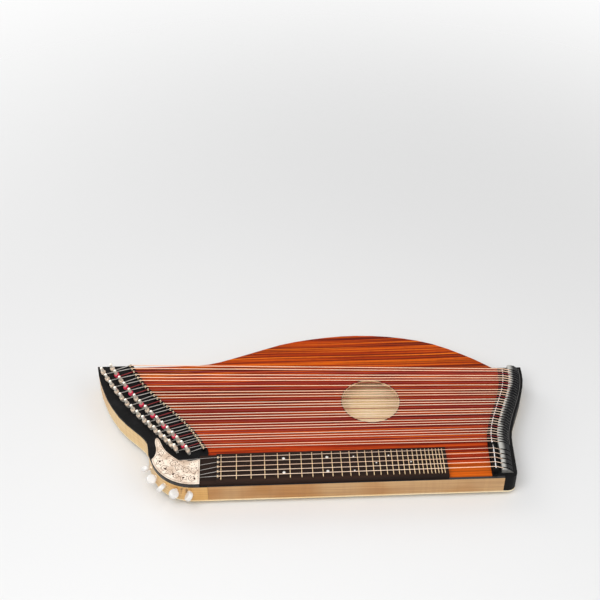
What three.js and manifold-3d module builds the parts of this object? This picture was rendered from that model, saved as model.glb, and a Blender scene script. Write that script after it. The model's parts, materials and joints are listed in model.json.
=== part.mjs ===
// Concert zither: five fretted melody strings with a worm-geared head, thirty-one open strings with
// tuning pins, a slotted string rail and a bent-side body on three feet.
// Millimetres. X runs along the melody strings to the tail, Y away from the player, Z up.
// The pieces are made with X = 0 at the zero fret, Y = 0 under the middle melody string and Z = 0 on
// the soundboard's top. At the end the whole group is moved so that its origin is under its middle.

import * as THREE from "three";
import { mergeVertices } from "three/addons/utils/BufferGeometryUtils.js";
import Module from "manifold-3d";

const wasm = await Module();
wasm.setup();

// General clearances
const seatGap = 0.3; // between pieces that rest on or touch each other
const runningGap = 0.2; // between a shaft and its bearing
const overrun = 1; // how far a cut runs past the face it opens
const weld = 0.15; // how deep fused pieces sink into each other

// Melody strings and frets
const scaleLength = 425;
const fretCount = 29;
const melodyCount = 5;
const melodyPitch = 9.5;
const melodyStringRadius = 0.35;

// Open strings: their y at the tail, and their radii
const openCount = 31;
const openTailBassY = 195;
const openTailPitch = 5.33;
const bassStringRadius = 0.75;
const trebleStringRadius = 0.45;

// Pin bridge: the curved line on which the open strings end at the head
const pinBridgeBassX = -154.4;
const pinBridgeTrebleX = -27.8;
const pinBridgeBassY = 229;
const pinBridgeTrebleY = 40;
const pinBridgeSway = 5.8; // the line swings this far to the left on its bass half, to the right on the other
const pinBridgeSpread = 0.2; // how much wider than even the strings stand at its bass end
const pinBridgeWidth = 5;
const pinBridgeEndShare = 0.012; // how far the bar runs past the outer strings
const pinBridgeHeight = 5.3;
const guidePinRadius = 1;
const guidePinHeight = 3.4; // above the bridge bar

// Tuning pins: shank, string winding and square head, leaning away from the strings' pull
const pinRadius = 2.4;
const pinDepth = 24; // below the winding's middle
const windingHeight = 5; // the winding's middle above the block cover
const windingLength = 3.2;
const windingThickness = 0.6;
const pinHeadLength = 9;
const pinNeckLength = 2.6;
const pinHeadWidth = 4.6;
const pinTopWidth = 3.8;
const pinLean = THREE.MathUtils.degToRad(13);
const pinTurnStep = THREE.MathUtils.degToRad(37); // each pin's head stands at its own angle

// How far the tuning pins stand from their own bowed line through the pin bridge's ends:
// the inner row has every other string
const pinRowBow = 9.5;
const pinRowSway = 2.5;
const innerReach = 29.5;
const innerReachSwell = 10.6;
const innerReachTaper = 5;
const outerReach = 46.5;
const outerReachSwell = 12.6;
const outerReachTaper = 9;
const outerRowLead = 0.02; // of the line's length, by which the outer row stands nearer to the bass end
const reachAngle = THREE.MathUtils.degToRad(15);
const reachAngleSwell = THREE.MathUtils.degToRad(13);

// Body
const bodyDepth = 34;
const soundboardThickness = 3;
const backThickness = 3;
const ribThickness = 4;
const liningWidth = 4;
const backEdgeMargin = 5; // from the pin bridge's bass end to the straight back edge
const tipMargin = 9.1; // from the outer row's first pin to the body's left tip
const bulgeStartX = -55;
const bulgeHeight = 64;
const bulgeEndInset = 13.5; // from the upper end of the tail's bridge line to the bulge's end
const blockEdgeOffset = 7; // from the pin bridge to the red wood
const ribEndReach = 13; // the front rib runs this far past the melody bridge
const cornerRadius = 12;
const barWidth = 8;
const barHeight = 9;
const barEndMargin = 16;

// Body outline: along and up the bulge from its start, and along and down from the tip to the neck
const bulgeShares = [
  [0, 0],
  [0.08, 0.07],
  [0.19, 0.38],
  [0.32, 0.76],
  [0.45, 0.95],
  [0.57, 1],
  [0.7, 0.88],
  [0.82, 0.58],
  [0.93, 0.05],
];
const leftSideShares = [
  [0, 0],
  [0.06, 0.15],
  [0.18, 0.32],
  [0.29, 0.44],
  [0.49, 0.6],
  [0.7, 0.715],
  [0.865, 0.8],
  [0.96, 0.87],
  [0.99, 0.95],
  [1, 1],
];
// Where the soundboard's and the back's bars lie between the pin block and the tail block
const barShares = [0.3, 0.78];

// Sound hole
const soundHoleX = 243.9;
const soundHoleY = 140.1;
const soundHoleRadius = 47.1;

// Tail: the bridge line sweeps to the right on the bass side, and the block and rail follow it
const bridgeOffset = 1.7; // from the end of the scale to the bridge line
const tailSweep = 42.8;
const tailLean = 2.5; // how far the line leans to the left over the melody strings
const tailTopMargin = 14; // from the lowest open string to the body's end
const tailBlockInset = 5.5; // from the bridge line to the red wood
const tailBridgeWidth = 8;
const tailBridgeHeight = 9.3;
const openTailDrop = 1.4; // how much lower the open strings' wire lies than the melody strings'
const tailBridgeEndMargin = 4; // past the last string at either end
const melodyBridgeReach = 10; // of the high part past the first melody string
const bridgeWireRadius = 0.9;
const railSetback = 9.8;
const railWidth = 18;
const railHeight = 9;
const railSlotWidth = 2.4;
const railSlotDepth = 2.6; // on the bridge side, from where the floor runs straight down to its end level
const railSlotEndLevel = 1.2;
const railFrontMargin = 3.6;
const railBackMargin = 11;
const tailRim = 6.5; // from the rail to the body's right edge
const stringEndInset = 3; // how far before the rail's right edge the strings end
// The rail's rounded top, across its width and up its height
const railShares = [
  [0, 0.92],
  [0.2, 1],
  [0.65, 0.72],
  [1, 0.12],
];

// Fretboard and nut
const fretboardHeight = 7.5;
const fretboardFrontMargin = 11; // past the outer melody strings
const fretboardBackMargin = 9;
const fretboardTailMargin = 6; // past the last fret
const fretboardHeadStep = 3.6; // how much lower the fretboard is behind the nut
const edgeStep = 2; // from the fretboard to the front edge
const fretWidth = 1.2;
const fretHeight = 0.9;
const fretMargin = 6.3; // past the outer melody strings
const zeroFretRise = 0.25;
const nutDistance = 5; // from the zero fret
const nutThickness = 2.4;
const nutMargin = 3.5;
const nutPostWidth = 3;
const nutBaseHeight = 1.6;
const nutPostRise = 0.8; // above the string's middle

// Pin block cover and head plate
const coverThickness = 3.7;
const plateRise = 5.7; // the plate's underside above the soundboard
const plateThickness = 1.2;
const plateInset = 1; // from the body's side
const headRadius = 70;
const headSetback = 32.8; // from the outer row of tuning pins, at its reach, to the head's centre
const headStartAngle = THREE.MathUtils.degToRad(194);
const neckOffsetX = 5.2;
const neckOffsetY = 14.5;
const plateRightReach = 8.5; // from the head's centre to the plate's right edge
const hornPadRadius = 2.6;
const hornPadInset = 5;
// The plate's free edge from its left foot up over the horn to its right corner:
// shares of the plate's length from its right edge, and of the head radius above the front edge
const plateEdgeShares = [
  [0.985, 0.77],
  [0.945, 0.83],
  [0.915, 0.96],
  [0.922, 1.1],
  [0.948, 1.23],
  [0.944, 1.35],
  [0.905, 1.38],
  [0.86, 1.32],
  [0.82, 1.21],
  [0.775, 1.1],
  [0.71, 0.98],
  [0.58, 0.83],
  [0.49, 0.745],
  [0.41, 0.68],
  [0.32, 0.7],
  [0.2, 0.665],
  [0.05, 0.7],
];

// Machine pocket under the plate, open to the fretboard
const pocketDepth = 15;
const pocketInnerRadius = 34;
const headWall = 5;
const pocketRightGap = 1.5;
const pocketSideGap = 1; // beside the first worm's thread

// Melody string machines: worm, worm wheel, string post and button
const gearModule = 0.7;
const gearTeeth = 12;
const gearFace = 4;
const wormPitchRadius = 2.5;
const wormTurns = 2;
const threadAddendum = 0.6;
const threadTipWidth = 0.5;
const threadRootWidth = 1.3;
const toothTipWidth = 0.35;
const toothRootWidth = 1.1;
const wormAxisDepth = 10; // below the soundboard's top
const wormInset = 12.5; // from the body's side to the worm's middle
const shaftRadius = 1.6;
const buttonRadius = 7.5;
const buttonThickness = 7.2;
const buttonEdge = 1.6;
const buttonReach = 9.5; // from the body's side to the button's middle
const collarRadius = 3;
const collarLength = 2.2;
const firstButtonAngle = THREE.MathUtils.degToRad(195);
const buttonAngleStep = THREE.MathUtils.degToRad(17.3);
const firstButtonTurn = THREE.MathUtils.degToRad(55); // each button stands at its own angle
const buttonTurnStep = THREE.MathUtils.degToRad(-90);
const postRadius = 2.6;
const postJournalRadius = 1.4;
const postWindingLength = 2;
const postWindingThickness = 0.45;
const firstWindingDrop = 3; // from the string's level at the plate's edge to the first post's winding
const frameThickness = 1.5;
const lugThickness = 2.4;
const lugWidth = 5;
const lugRise = 3.4; // above the worm's axis
const lugGap = 0.5; // between the worm's end and the lug
const frameMargin = 4;

// Feet
const footRadius = 8;
const footTipRadius = 6.5;
const footHeight = 8;
const footChamfer = 1;
const footInset = 32; // from the front edge, and of the left foot from the head's centre
const footTailInset = 20; // from the melody bridge to the right foot
const rearFootShare = 0.3; // of the way along the bulge
const rearFootReach = 16; // from the straight back edge

// Facets round a full turn
const fineFacets = 40;
const roundFacets = 16;
const smallFacets = 8;
const tinyFacets = 6;
const boreFacets = 5;

// Sizes that follow from the ones above
const melodySpan = (melodyCount - 1) * melodyPitch;
const openTailTrebleY = openTailBassY - (openCount - 1) * openTailPitch;
const fretboardFrontY = -(melodySpan / 2 + fretboardFrontMargin);
const fretboardBackY = melodySpan / 2 + fretboardBackMargin;
const frontY = fretboardFrontY - edgeStep;
const backEdgeY = pinBridgeBassY + backEdgeMargin;
const tailTopY = openTailBassY + tailTopMargin;
const tipX = pinBridgeBassX - outerReach - tipMargin;
const headCentreX = pinBridgeTrebleX - outerReach + headSetback;
const headCentre = new THREE.Vector2(headCentreX, frontY + headRadius);
const plateRightX = headCentre.x + plateRightReach;
const coverTop = seatGap + coverThickness;
const coverFrontY = headCentre.y + headRadius * Math.sin(headStartAngle) + seatGap;
const rimTop = plateRise - seatGap;
const bodyBottom = -bodyDepth;
const backTop = bodyBottom + backThickness;
const innerBottom = backTop + seatGap;
const boardBottom = -soundboardThickness;
const liningTop = boardBottom - seatGap;
const pinBridgeTop = coverTop + seatGap + pinBridgeHeight;
const windingLevel = coverTop + windingHeight;
const tailBridgeTop = seatGap + tailBridgeHeight;
const melodyWireLevel = tailBridgeTop + seatGap + bridgeWireRadius;
const openWireLevel = melodyWireLevel - openTailDrop;
const ribEndX = scaleLength + ribEndReach;
const fretX = (n) => scaleLength * (1 - 2 ** (-n / 12));
const fretTop = fretboardHeight + fretHeight + zeroFretRise;
const nutStringLevel = fretTop + seatGap + melodyStringRadius;
const nutX = -nutDistance;
const fretboardHeadTop = fretboardHeight - fretboardHeadStep;
const wormLevel = -wormAxisDepth;
const gearPitchRadius = (gearModule * gearTeeth) / 2;
const gearOffset = wormPitchRadius + gearPitchRadius;
const wormLead = Math.PI * gearModule;
const wormMiddle = headRadius - wormInset;
const threadDedendum = wormPitchRadius - shaftRadius;
const wormLength = wormTurns * wormLead + threadRootWidth;
const lugMiddle = wormMiddle - wormLength / 2 - lugGap - lugThickness / 2;
const pocketFloor = -pocketDepth;
const frameTop = pocketFloor + seatGap + frameThickness;

// A closed geometry as a solid. Its faces are turned round if they point inwards.
function solidOf(geometry) {
  const bare = geometry.index ? geometry.toNonIndexed() : geometry.clone();
  bare.deleteAttribute("normal");
  bare.deleteAttribute("uv");
  const merged = mergeVertices(bare, 1e-4);
  const vertProperties = new Float32Array(merged.attributes.position.array);
  const triVerts = new Uint32Array(merged.index.array);
  const made = new wasm.Manifold(new wasm.Mesh({ numProp: 3, vertProperties, triVerts }));
  if (made.volume() > 0) return made;
  for (let i = 0; i < triVerts.length; i += 3) {
    [triVerts[i + 1], triVerts[i + 2]] = [triVerts[i + 2], triVerts[i + 1]];
  }
  return new wasm.Manifold(new wasm.Mesh({ numProp: 3, vertProperties, triVerts }));
}

// A solid as a geometry with its own vertices on every face, for flat shading.
function geometryOf(solid) {
  const mesh = solid.getMesh();
  const shared = new THREE.BufferGeometry();
  shared.setAttribute("position", new THREE.BufferAttribute(new Float32Array(mesh.vertProperties), 3));
  shared.setIndex(new THREE.BufferAttribute(new Uint32Array(mesh.triVerts), 1));
  const flat = shared.toNonIndexed();
  flat.computeVertexNormals();
  return flat;
}

// A plan outline as an upright solid from one level to another.
function slab(outline, bottom, top) {
  const shape = new THREE.Shape(outline.map((p) => new THREE.Vector2(p.x, p.y)));
  const geometry = new THREE.ExtrudeGeometry(shape, { depth: top - bottom, bevelEnabled: false });
  return solidOf(geometry.translate(0, 0, bottom));
}

// A box given by its lowest and highest corners.
function block(x0, x1, y0, y1, z0, z1) {
  const geometry = new THREE.BoxGeometry(x1 - x0, y1 - y0, z1 - z0);
  return solidOf(geometry.translate((x0 + x1) / 2, (y0 + y1) / 2, (z0 + z1) / 2));
}

// A solid through convex rings with equal numbers of points, closed by a face at each end.
function loft(rings) {
  const count = rings[0].length;
  const positions = rings.flat().flatMap((p) => [p.x, p.y, p.z]);
  const index = [];
  for (let r = 0; r + 1 < rings.length; r++) {
    for (let k = 0; k < count; k++) {
      const a = r * count + k;
      const b = r * count + ((k + 1) % count);
      index.push(a, b, b + count, a, b + count, a + count);
    }
  }
  const last = (rings.length - 1) * count;
  for (let k = 1; k + 1 < count; k++) {
    index.push(0, k + 1, k);
    index.push(last, last + k, last + k + 1);
  }
  const geometry = new THREE.BufferGeometry();
  geometry.setAttribute("position", new THREE.Float32BufferAttribute(positions, 3));
  geometry.setIndex(index);
  return solidOf(geometry);
}

// A ring of points round the Z axis.
function ringAt(z, radius, facets) {
  return Array.from({ length: facets }, (_, k) => {
    const angle = ((k + 0.5) * 2 * Math.PI) / facets;
    return new THREE.Vector3(radius * Math.cos(angle), radius * Math.sin(angle), z);
  });
}

// A turned solid on the Z axis from pairs of radius and level.
function turned(profile, facets) {
  return loft(profile.map(([radius, z]) => ringAt(z, radius, facets)));
}

// A round upright bar on the Z axis between two levels.
function uprightBar(radius, [bottom, top], facets) {
  return turned([[radius, bottom], [radius, top]], facets);
}

// A round bar along X from one end to the other.
function barAlongX(x0, x1, radius, facets) {
  return uprightBar(radius, [x0, x1], facets).rotate([0, 90, 0]);
}

// The radius of a many-sided hole in which a round piece of the given radius has its gap.
function holeRadius(radius, gap, facets) {
  return (radius + gap) / Math.cos(Math.PI / facets);
}

const upward = new THREE.Vector3(0, 0, 1);
const placed = (solid, matrix) => solid.transform(matrix.toArray());
const joined = (solids) => solids.reduce((whole, solid) => whole.add(solid));
const cutBy = (solid, tools) => solid.subtract(joined(tools));
const samples = (from, to, steps) =>
  Array.from({ length: steps + 1 }, (_, k) => from + ((to - from) * k) / steps);
const openIndices = samples(0, openCount - 1, openCount - 1);
const melodyIndices = samples(0, melodyCount - 1, melodyCount - 1);
const onCircle = (centre, radius, angle) =>
  new THREE.Vector2(centre.x + radius * Math.cos(angle), centre.y + radius * Math.sin(angle));
const arc = (centre, radius, from, to, steps) =>
  samples(from, to, steps).map((angle) => onCircle(centre, radius, angle));
const spline = (points, steps) =>
  new THREE.SplineCurve(points.map(([x, y]) => new THREE.Vector2(x, y))).getPoints(steps);

// The tail bridge's line: leaning a little under the melody strings, then swept to the right.
function tailLineX(y) {
  const swept = THREE.MathUtils.smoothstep(y, openTailTrebleY, openTailBassY);
  const leaning = THREE.MathUtils.clamp(0.5 - y / melodySpan, 0, 1);
  return scaleLength + bridgeOffset + tailSweep * swept - tailLean * leaning;
}

// A curved line through the pin bridge's ends, by the share of the way from bass to treble.
function lineAt(share, bow, sway) {
  const aside = 4 * bow * share * (1 - share) - sway * Math.sin(2 * Math.PI * share);
  return new THREE.Vector2(
    THREE.MathUtils.lerp(pinBridgeBassX, pinBridgeTrebleX, share) + aside,
    THREE.MathUtils.lerp(pinBridgeBassY, pinBridgeTrebleY, share),
  );
}
const pinBridgeAt = (share) => lineAt(share, 0, pinBridgeSway);

// Where the block cover ends and the red wood begins.
function blockEdge(shift, top) {
  const shareAt = (y) => (pinBridgeBassY - y) / (pinBridgeBassY - pinBridgeTrebleY);
  return samples(pinBridgeTrebleY, top, 10).map(
    (y) => new THREE.Vector2(pinBridgeAt(shareAt(y)).x + blockEdgeOffset + shift, y),
  );
}

// Left edge of the tail block, from the front up.
const tailBlockEdge = (shift, front, top) =>
  [front, ...samples(openTailTrebleY, openTailBassY, 8), top].map(
    (y) => new THREE.Vector2(tailLineX(y) - tailBlockInset + shift, y),
  );

// The body's bass side from the tail to the body's left tip.
const bulgeEndX = () => tailLineX(tailTopY) - bulgeEndInset;
function backSide() {
  const endX = bulgeEndX();
  const bulge = bulgeShares.map(([along, up]) => [
    THREE.MathUtils.lerp(bulgeStartX, endX, along),
    backEdgeY + up * bulgeHeight,
  ]);
  return [...spline([...bulge, [endX, tailTopY]], 22).reverse(), new THREE.Vector2(tipX, backEdgeY)];
}

// The body's left side from the tip down to the neck.
function leftSide() {
  const start = onCircle(headCentre, headRadius, headStartAngle);
  const neckX = start.x - neckOffsetX;
  const neckY = start.y + neckOffsetY;
  const points = leftSideShares.map(([along, down]) => [
    THREE.MathUtils.lerp(tipX, neckX, along),
    THREE.MathUtils.lerp(backEdgeY, neckY, down),
  ]);
  return spline(points, 14);
}

// The whole body seen from above, anticlockwise from the head.
function bodyOutline() {
  const edgeX = (y) => tailLineX(y) + railSetback + railWidth + tailRim;
  const cornerCentre = new THREE.Vector2(edgeX(frontY) - cornerRadius, frontY + cornerRadius);
  const sweepYs = [...samples(openTailTrebleY, openTailBassY, 10), tailTopY];
  return [
    ...arc(headCentre, headRadius, headStartAngle, (3 * Math.PI) / 2, 12),
    ...arc(cornerCentre, cornerRadius, -Math.PI / 2, 0, 4),
    ...sweepYs.map((y) => new THREE.Vector2(edgeX(y), y)),
    ...backSide(),
    ...leftSide().slice(1),
  ];
}

const farLeft = tipX - overrun;
const farRight = tailLineX(openTailBassY) + railSetback + railWidth + tailRim + overrun;
const farFront = frontY - overrun;
const farBack = backEdgeY + bulgeHeight + overrun;

// The part of the plan to the left of the block edge, and the part between it and the tail block.
const leftOfBlockEdge = () => [
  new THREE.Vector2(farLeft, farFront),
  new THREE.Vector2(blockEdge(0, farBack)[0].x, farFront),
  ...blockEdge(0, backEdgeY + overrun),
  new THREE.Vector2(farLeft, backEdgeY + overrun),
];
const betweenBlocks = (gap) => {
  const left = blockEdge(gap, backEdgeY + overrun);
  const right = tailBlockEdge(-gap, frontY + ribThickness + gap, tailTopY);
  return [
    new THREE.Vector2(left[0].x, right[0].y),
    ...right,
    new THREE.Vector2(right.at(-1).x, farBack),
    new THREE.Vector2(left.at(-1).x, farBack),
    ...left.reverse(),
  ];
};

// Bars across the inside of a board, from one level to another.
function bars(bottom, top) {
  const left = blockEdge(0, backEdgeY)[0].x;
  const right = tailLineX(frontY) - tailBlockInset;
  return barShares.map((share) => {
    const x = THREE.MathUtils.lerp(left, right, share);
    const y0 = frontY + ribThickness + liningWidth + barEndMargin;
    return block(x, x + barWidth, y0, backEdgeY - barEndMargin, bottom, top);
  });
}

function soundboard() {
  const plate = slab(bodyOutline(), boardBottom, 0).intersect(
    slab(betweenBlocks(seatGap), boardBottom - overrun, overrun),
  );
  const hole = uprightBar(soundHoleRadius, [boardBottom - overrun, overrun], fineFacets).translate([
    soundHoleX,
    soundHoleY,
    0,
  ]);
  return joined([plate.subtract(hole), ...bars(boardBottom - barHeight, boardBottom + weld)]);
}

function backBoard() {
  return joined([slab(bodyOutline(), bodyBottom, backTop), ...bars(backTop - weld, backTop + barHeight)]);
}

// The front rib with the lining that carries the soundboard, from the block to the tail block.
function frontRib() {
  const x0 = blockEdge(seatGap, backEdgeY)[0].x;
  const x1 = tailLineX(frontY) - tailBlockInset - seatGap;
  const rib = block(x0, ribEndX, frontY, frontY + ribThickness, innerBottom, 0);
  const liningY = frontY + ribThickness + liningWidth;
  const lining = block(x0, x1, frontY + overrun, liningY, innerBottom, liningTop);
  return rib.add(lining);
}

// A line of points moved sideways, to the left of its direction.
function offsetLine(points, distance) {
  return points.map((point, k) => {
    const before = points[Math.max(k - 1, 0)];
    const after = points[Math.min(k + 1, points.length - 1)];
    const along = after.clone().sub(before).normalize();
    return new THREE.Vector2(point.x - along.y * distance, point.y + along.x * distance);
  });
}

// The bent rib and its lining under the soundboard's bass edge.
function bassRib() {
  const outer = backSide();
  const inner = offsetLine(outer, ribThickness + liningWidth);
  const band = slab([...outer, ...inner.reverse()], innerBottom, liningTop);
  return band.intersect(slab(betweenBlocks(seatGap), innerBottom - overrun, liningTop + overrun));
}

// The machine's pocket seen from above: between two arcs, open to the right.
function pocketOutline() {
  const rightX = plateRightX - pocketRightGap;
  const toRight = (radius) => (3 * Math.PI) / 2 + Math.asin((rightX - headCentre.x) / radius);
  const outer = headRadius - headWall;
  const start = firstButtonAngle - (wormPitchRadius + threadAddendum + pocketSideGap) / lugMiddle;
  return [
    ...arc(headCentre, outer, start, toRight(outer), 12),
    ...arc(headCentre, pocketInnerRadius, toRight(pocketInnerRadius), start, 8),
  ];
}

// The raised rim round the head that carries the plate.
function headRim() {
  const rimStart = headStartAngle + seatGap / headRadius + overrun / headRadius;
  const innerRadius = headRadius - headWall;
  const rightX = plateRightX - seatGap;
  const outline = [
    ...arc(headCentre, headRadius, rimStart, (3 * Math.PI) / 2, 12),
    new THREE.Vector2(rightX, frontY),
    new THREE.Vector2(rightX, frontY + headWall),
    ...arc(headCentre, innerRadius, (3 * Math.PI) / 2, rimStart, 12),
  ];
  return slab(outline, -headWall, rimTop);
}

// The pin block with its bores for pins and shafts, its machine pocket and its rim.
function pinBlock() {
  const whole = slab(bodyOutline(), innerBottom, 0).intersect(
    slab(leftOfBlockEdge(), innerBottom - overrun, overrun),
  );
  const pocket = slab(pocketOutline(), pocketFloor, rimTop + overrun);
  const bores = [...blockBores(), ...shaftBores(headRadius - headWall)];
  return cutBy(whole.subtract(pocket).add(headRim()), bores);
}

// The black cover of the pin block, cut back round the machine pocket.
function pinBlockCover() {
  const region = [
    new THREE.Vector2(farLeft, coverFrontY),
    new THREE.Vector2(headCentre.x - pocketInnerRadius / 2, coverFrontY),
    new THREE.Vector2(headCentre.x - pocketInnerRadius / 2, melodyPitch - overrun),
    new THREE.Vector2(plateRightX - seatGap, melodyPitch - overrun),
    new THREE.Vector2(plateRightX - seatGap, fretboardBackY + seatGap),
    new THREE.Vector2(blockEdge(0, backEdgeY)[0].x, fretboardBackY + seatGap),
    ...blockEdge(0, backEdgeY + overrun),
    new THREE.Vector2(farLeft, backEdgeY + overrun),
  ];
  const cover = slab(bodyOutline(), seatGap, coverTop).intersect(slab(region, 0, coverTop + overrun));
  return cutBy(cover, blockBores());
}

// The tail block: everything to the right of its edge, behind the end of the front rib.
function tailBlock() {
  const behindRib = frontY + ribThickness + seatGap;
  const region = [
    new THREE.Vector2(ribEndX + seatGap, behindRib),
    new THREE.Vector2(ribEndX + seatGap, farFront),
    new THREE.Vector2(farRight, farFront),
    new THREE.Vector2(farRight, farBack),
    ...tailBlockEdge(0, behindRib, farBack).reverse(),
  ];
  return slab(bodyOutline(), innerBottom, 0).intersect(slab(region, innerBottom - overrun, overrun));
}

// The fretboard with its frets and zero fret, lower behind the nut.
function fretboard() {
  const x1 = fretX(fretCount) + fretboardTailMargin;
  const stepX = nutX - nutThickness;
  const [y0, y1] = [fretboardFrontY, fretboardBackY];
  const board = block(stepX, x1, y0, y1, seatGap, fretboardHeight);
  const head = block(plateRightX, stepX + overrun, y0, y1, seatGap, fretboardHeadTop);
  const fretSpan = melodySpan / 2 + fretMargin;
  const frets = samples(0, fretCount, fretCount).map((n) => {
    const rise = n === 0 ? zeroFretRise : 0;
    const x = fretX(n) - fretWidth / 2;
    const top = fretboardHeight + fretHeight + rise;
    return block(x, x + fretWidth, -fretSpan, fretSpan, fretboardHeight - weld, top);
  });
  return joined([board, head, ...frets]).subtract(nutSeat());
}

// The seat for the nut in the fretboard.
function nutSeat() {
  const half = melodySpan / 2 + nutMargin + seatGap;
  const x0 = nutX - nutThickness / 2 - seatGap;
  const x1 = nutX + nutThickness / 2 + seatGap;
  return block(x0, x1, -half, half, fretboardHeight - nutBaseHeight, fretboardHeight + overrun);
}

const melodyY = (j) => melodySpan / 2 - j * melodyPitch;

// The nut: a low bar with one notched post for each melody string.
function nut() {
  const half = melodySpan / 2 + nutMargin;
  const bottom = fretboardHeight - nutBaseHeight + seatGap;
  const x0 = nutX - nutThickness / 2;
  const x1 = nutX + nutThickness / 2;
  const bar = block(x0, x1, -half, half, bottom, fretboardHeight + seatGap);
  const notchHalf = melodyStringRadius + seatGap;
  const posts = melodyIndices.map((j) => {
    const y = melodyY(j);
    const top = nutStringLevel + nutPostRise;
    const post = block(x0, x1, y - nutPostWidth / 2, y + nutPostWidth / 2, bottom, top);
    const floor = nutStringLevel - notchHalf;
    const notch = [y - notchHalf, y + notchHalf, floor, top + overrun];
    return post.subtract(block(x0 - overrun, x1 + overrun, ...notch));
  });
  return joined([bar, ...posts]);
}

// An open string's share of the way from bass to treble, its radius, its y at the tail and its bend.
const openShare = (i) => i / (openCount - 1);
const openRadius = (i) => THREE.MathUtils.lerp(bassStringRadius, trebleStringRadius, openShare(i));
const openTailY = (i) => openTailBassY - i * openTailPitch;
const openBend = (i) => pinBridgeAt(openShare(i) + pinBridgeSpread * openShare(i) * (1 - openShare(i)));

// Where a tuning pin's axis passes its winding.
function tuningPinPlace(i) {
  const inner = i % 2 === 0;
  const share = openShare(i) - (inner ? 0 : outerRowLead);
  const swell = 4 * share * (1 - share);
  const reach = inner
    ? innerReach + innerReachSwell * swell - innerReachTaper * share
    : outerReach + outerReachSwell * swell - outerReachTaper * share;
  const angle = Math.PI + reachAngle + reachAngleSwell * swell;
  return onCircle(lineAt(share, pinRowBow, pinRowSway), reach, angle);
}

function tuningPinMatrix(i) {
  const { x, y } = tuningPinPlace(i);
  const turn = new THREE.Euler(0, -pinLean, i * pinTurnStep);
  return new THREE.Matrix4().makeRotationFromEuler(turn).setPosition(x, y, windingLevel);
}

// A bore round each tuning pin between two levels of its axis, clear of the given radius.
function pinBores(radius, levels) {
  const bore = uprightBar(holeRadius(radius, seatGap, boreFacets), levels, boreFacets);
  return openIndices.map((i) => placed(bore, tuningPinMatrix(i)));
}

// The bores through the cover into the block.
const blockBores = () => pinBores(pinRadius, [-pinDepth - seatGap, 0]);

// A tuning pin with its winding: origin at the winding's middle, Z along the pin.
function tuningPin() {
  const half = windingLength / 2;
  const squareRing = (z, width) =>
    ringAt(z, 1, smallFacets).map((p) => {
      const reach = Math.max(Math.abs(p.x), Math.abs(p.y));
      return new THREE.Vector3((p.x / reach) * (width / 2), (p.y / reach) * (width / 2), z);
    });
  const headBase = half + pinNeckLength;
  const headTop = headBase + pinHeadLength;
  return loft([
    ringAt(-pinDepth, pinRadius, smallFacets),
    ringAt(-half, pinRadius, smallFacets),
    ringAt(0, pinRadius + windingThickness, smallFacets),
    squareRing(headBase, pinHeadWidth),
    squareRing(headTop, pinTopWidth),
  ]);
}

// The bar of the pin bridge and a guide pin beside each open string.
function pinBridge() {
  const bottom = coverTop + seatGap;
  const centreLine = samples(-pinBridgeEndShare, 1 + pinBridgeEndShare, 10).map(pinBridgeAt);
  const sides = [1, -1].map((side) => offsetLine(centreLine, (side * pinBridgeWidth) / 2));
  const bar = slab([...sides[0], ...sides[1].reverse()], bottom, pinBridgeTop);
  const pins = openIndices.map((i) => {
    const { x, y } = guidePinPlace(i);
    const levels = [pinBridgeTop - weld, pinBridgeTop + guidePinHeight];
    return uprightBar(guidePinRadius, levels, boreFacets).translate([x, y, 0]);
  });
  return joined([bar, ...pins]);
}

// A guide pin stands on the player's side of its string, where the string bends.
function guidePinPlace(i) {
  const bend = openBend(i);
  return new THREE.Vector2(bend.x, bend.y - guidePinRadius - seatGap - openRadius(i));
}

// The bar under both bridge wires, higher under the melody strings.
function tailBridge() {
  const step = melodySpan / 2 + melodyBridgeReach;
  const barAlong = (ys, top) => {
    const side = (shift) => ys.map((y) => new THREE.Vector2(tailLineX(y) + shift, y));
    return slab([...side(tailBridgeWidth / 2), ...side(-tailBridgeWidth / 2).reverse()], seatGap, top);
  };
  const sweep = samples(openTailTrebleY, openTailBassY, 8);
  const lowYs = [step - overrun, ...sweep, openTailBassY + tailBridgeEndMargin];
  const highYs = [-(melodySpan / 2 + tailBridgeEndMargin), -melodySpan / 2, melodySpan / 2, step];
  return barAlong(lowYs, tailBridgeTop - openTailDrop).add(barAlong(highYs, tailBridgeTop));
}

// A bridge wire along the tail line through the given values of y.
function bridgeWire(ys, level) {
  return loft(
    ys.map((y) =>
      ringAt(0, bridgeWireRadius, boreFacets).map(
        (p) => new THREE.Vector3(tailLineX(y) + p.x, y, level + p.y),
      ),
    ),
  );
}

// A string through the given points, with a square section stood on its edge.
function stringThrough(points, radius) {
  return loft(
    points.map(({ x, y, z }) => [
      new THREE.Vector3(x, y, z - radius),
      new THREE.Vector3(x, y + radius, z),
      new THREE.Vector3(x, y, z + radius),
      new THREE.Vector3(x, y - radius, z),
    ]),
  );
}

// The level of a rail slot's floor at a share of the rail's width.
function slotFloorAt(share) {
  const shoulder = railShares[1][0];
  const down = Math.max(share - shoulder, 0) / (1 - shoulder);
  return THREE.MathUtils.lerp(railHeight - railSlotDepth, railSlotEndLevel, down);
}

// The end of a string from the bridge wire down into its slot in the rail.
function stringTail(y, radius, wireLevel) {
  const left = tailLineX(y) + railSetback;
  const lift = radius + seatGap;
  const inSlot = (share) => new THREE.Vector3(left + share * railWidth, y, slotFloorAt(share) + lift);
  const last = 1 - stringEndInset / railWidth;
  return [
    new THREE.Vector3(tailLineX(y), y, wireLevel + bridgeWireRadius + radius - weld),
    inSlot(railShares[1][0]),
    inSlot(last),
  ];
}

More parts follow.
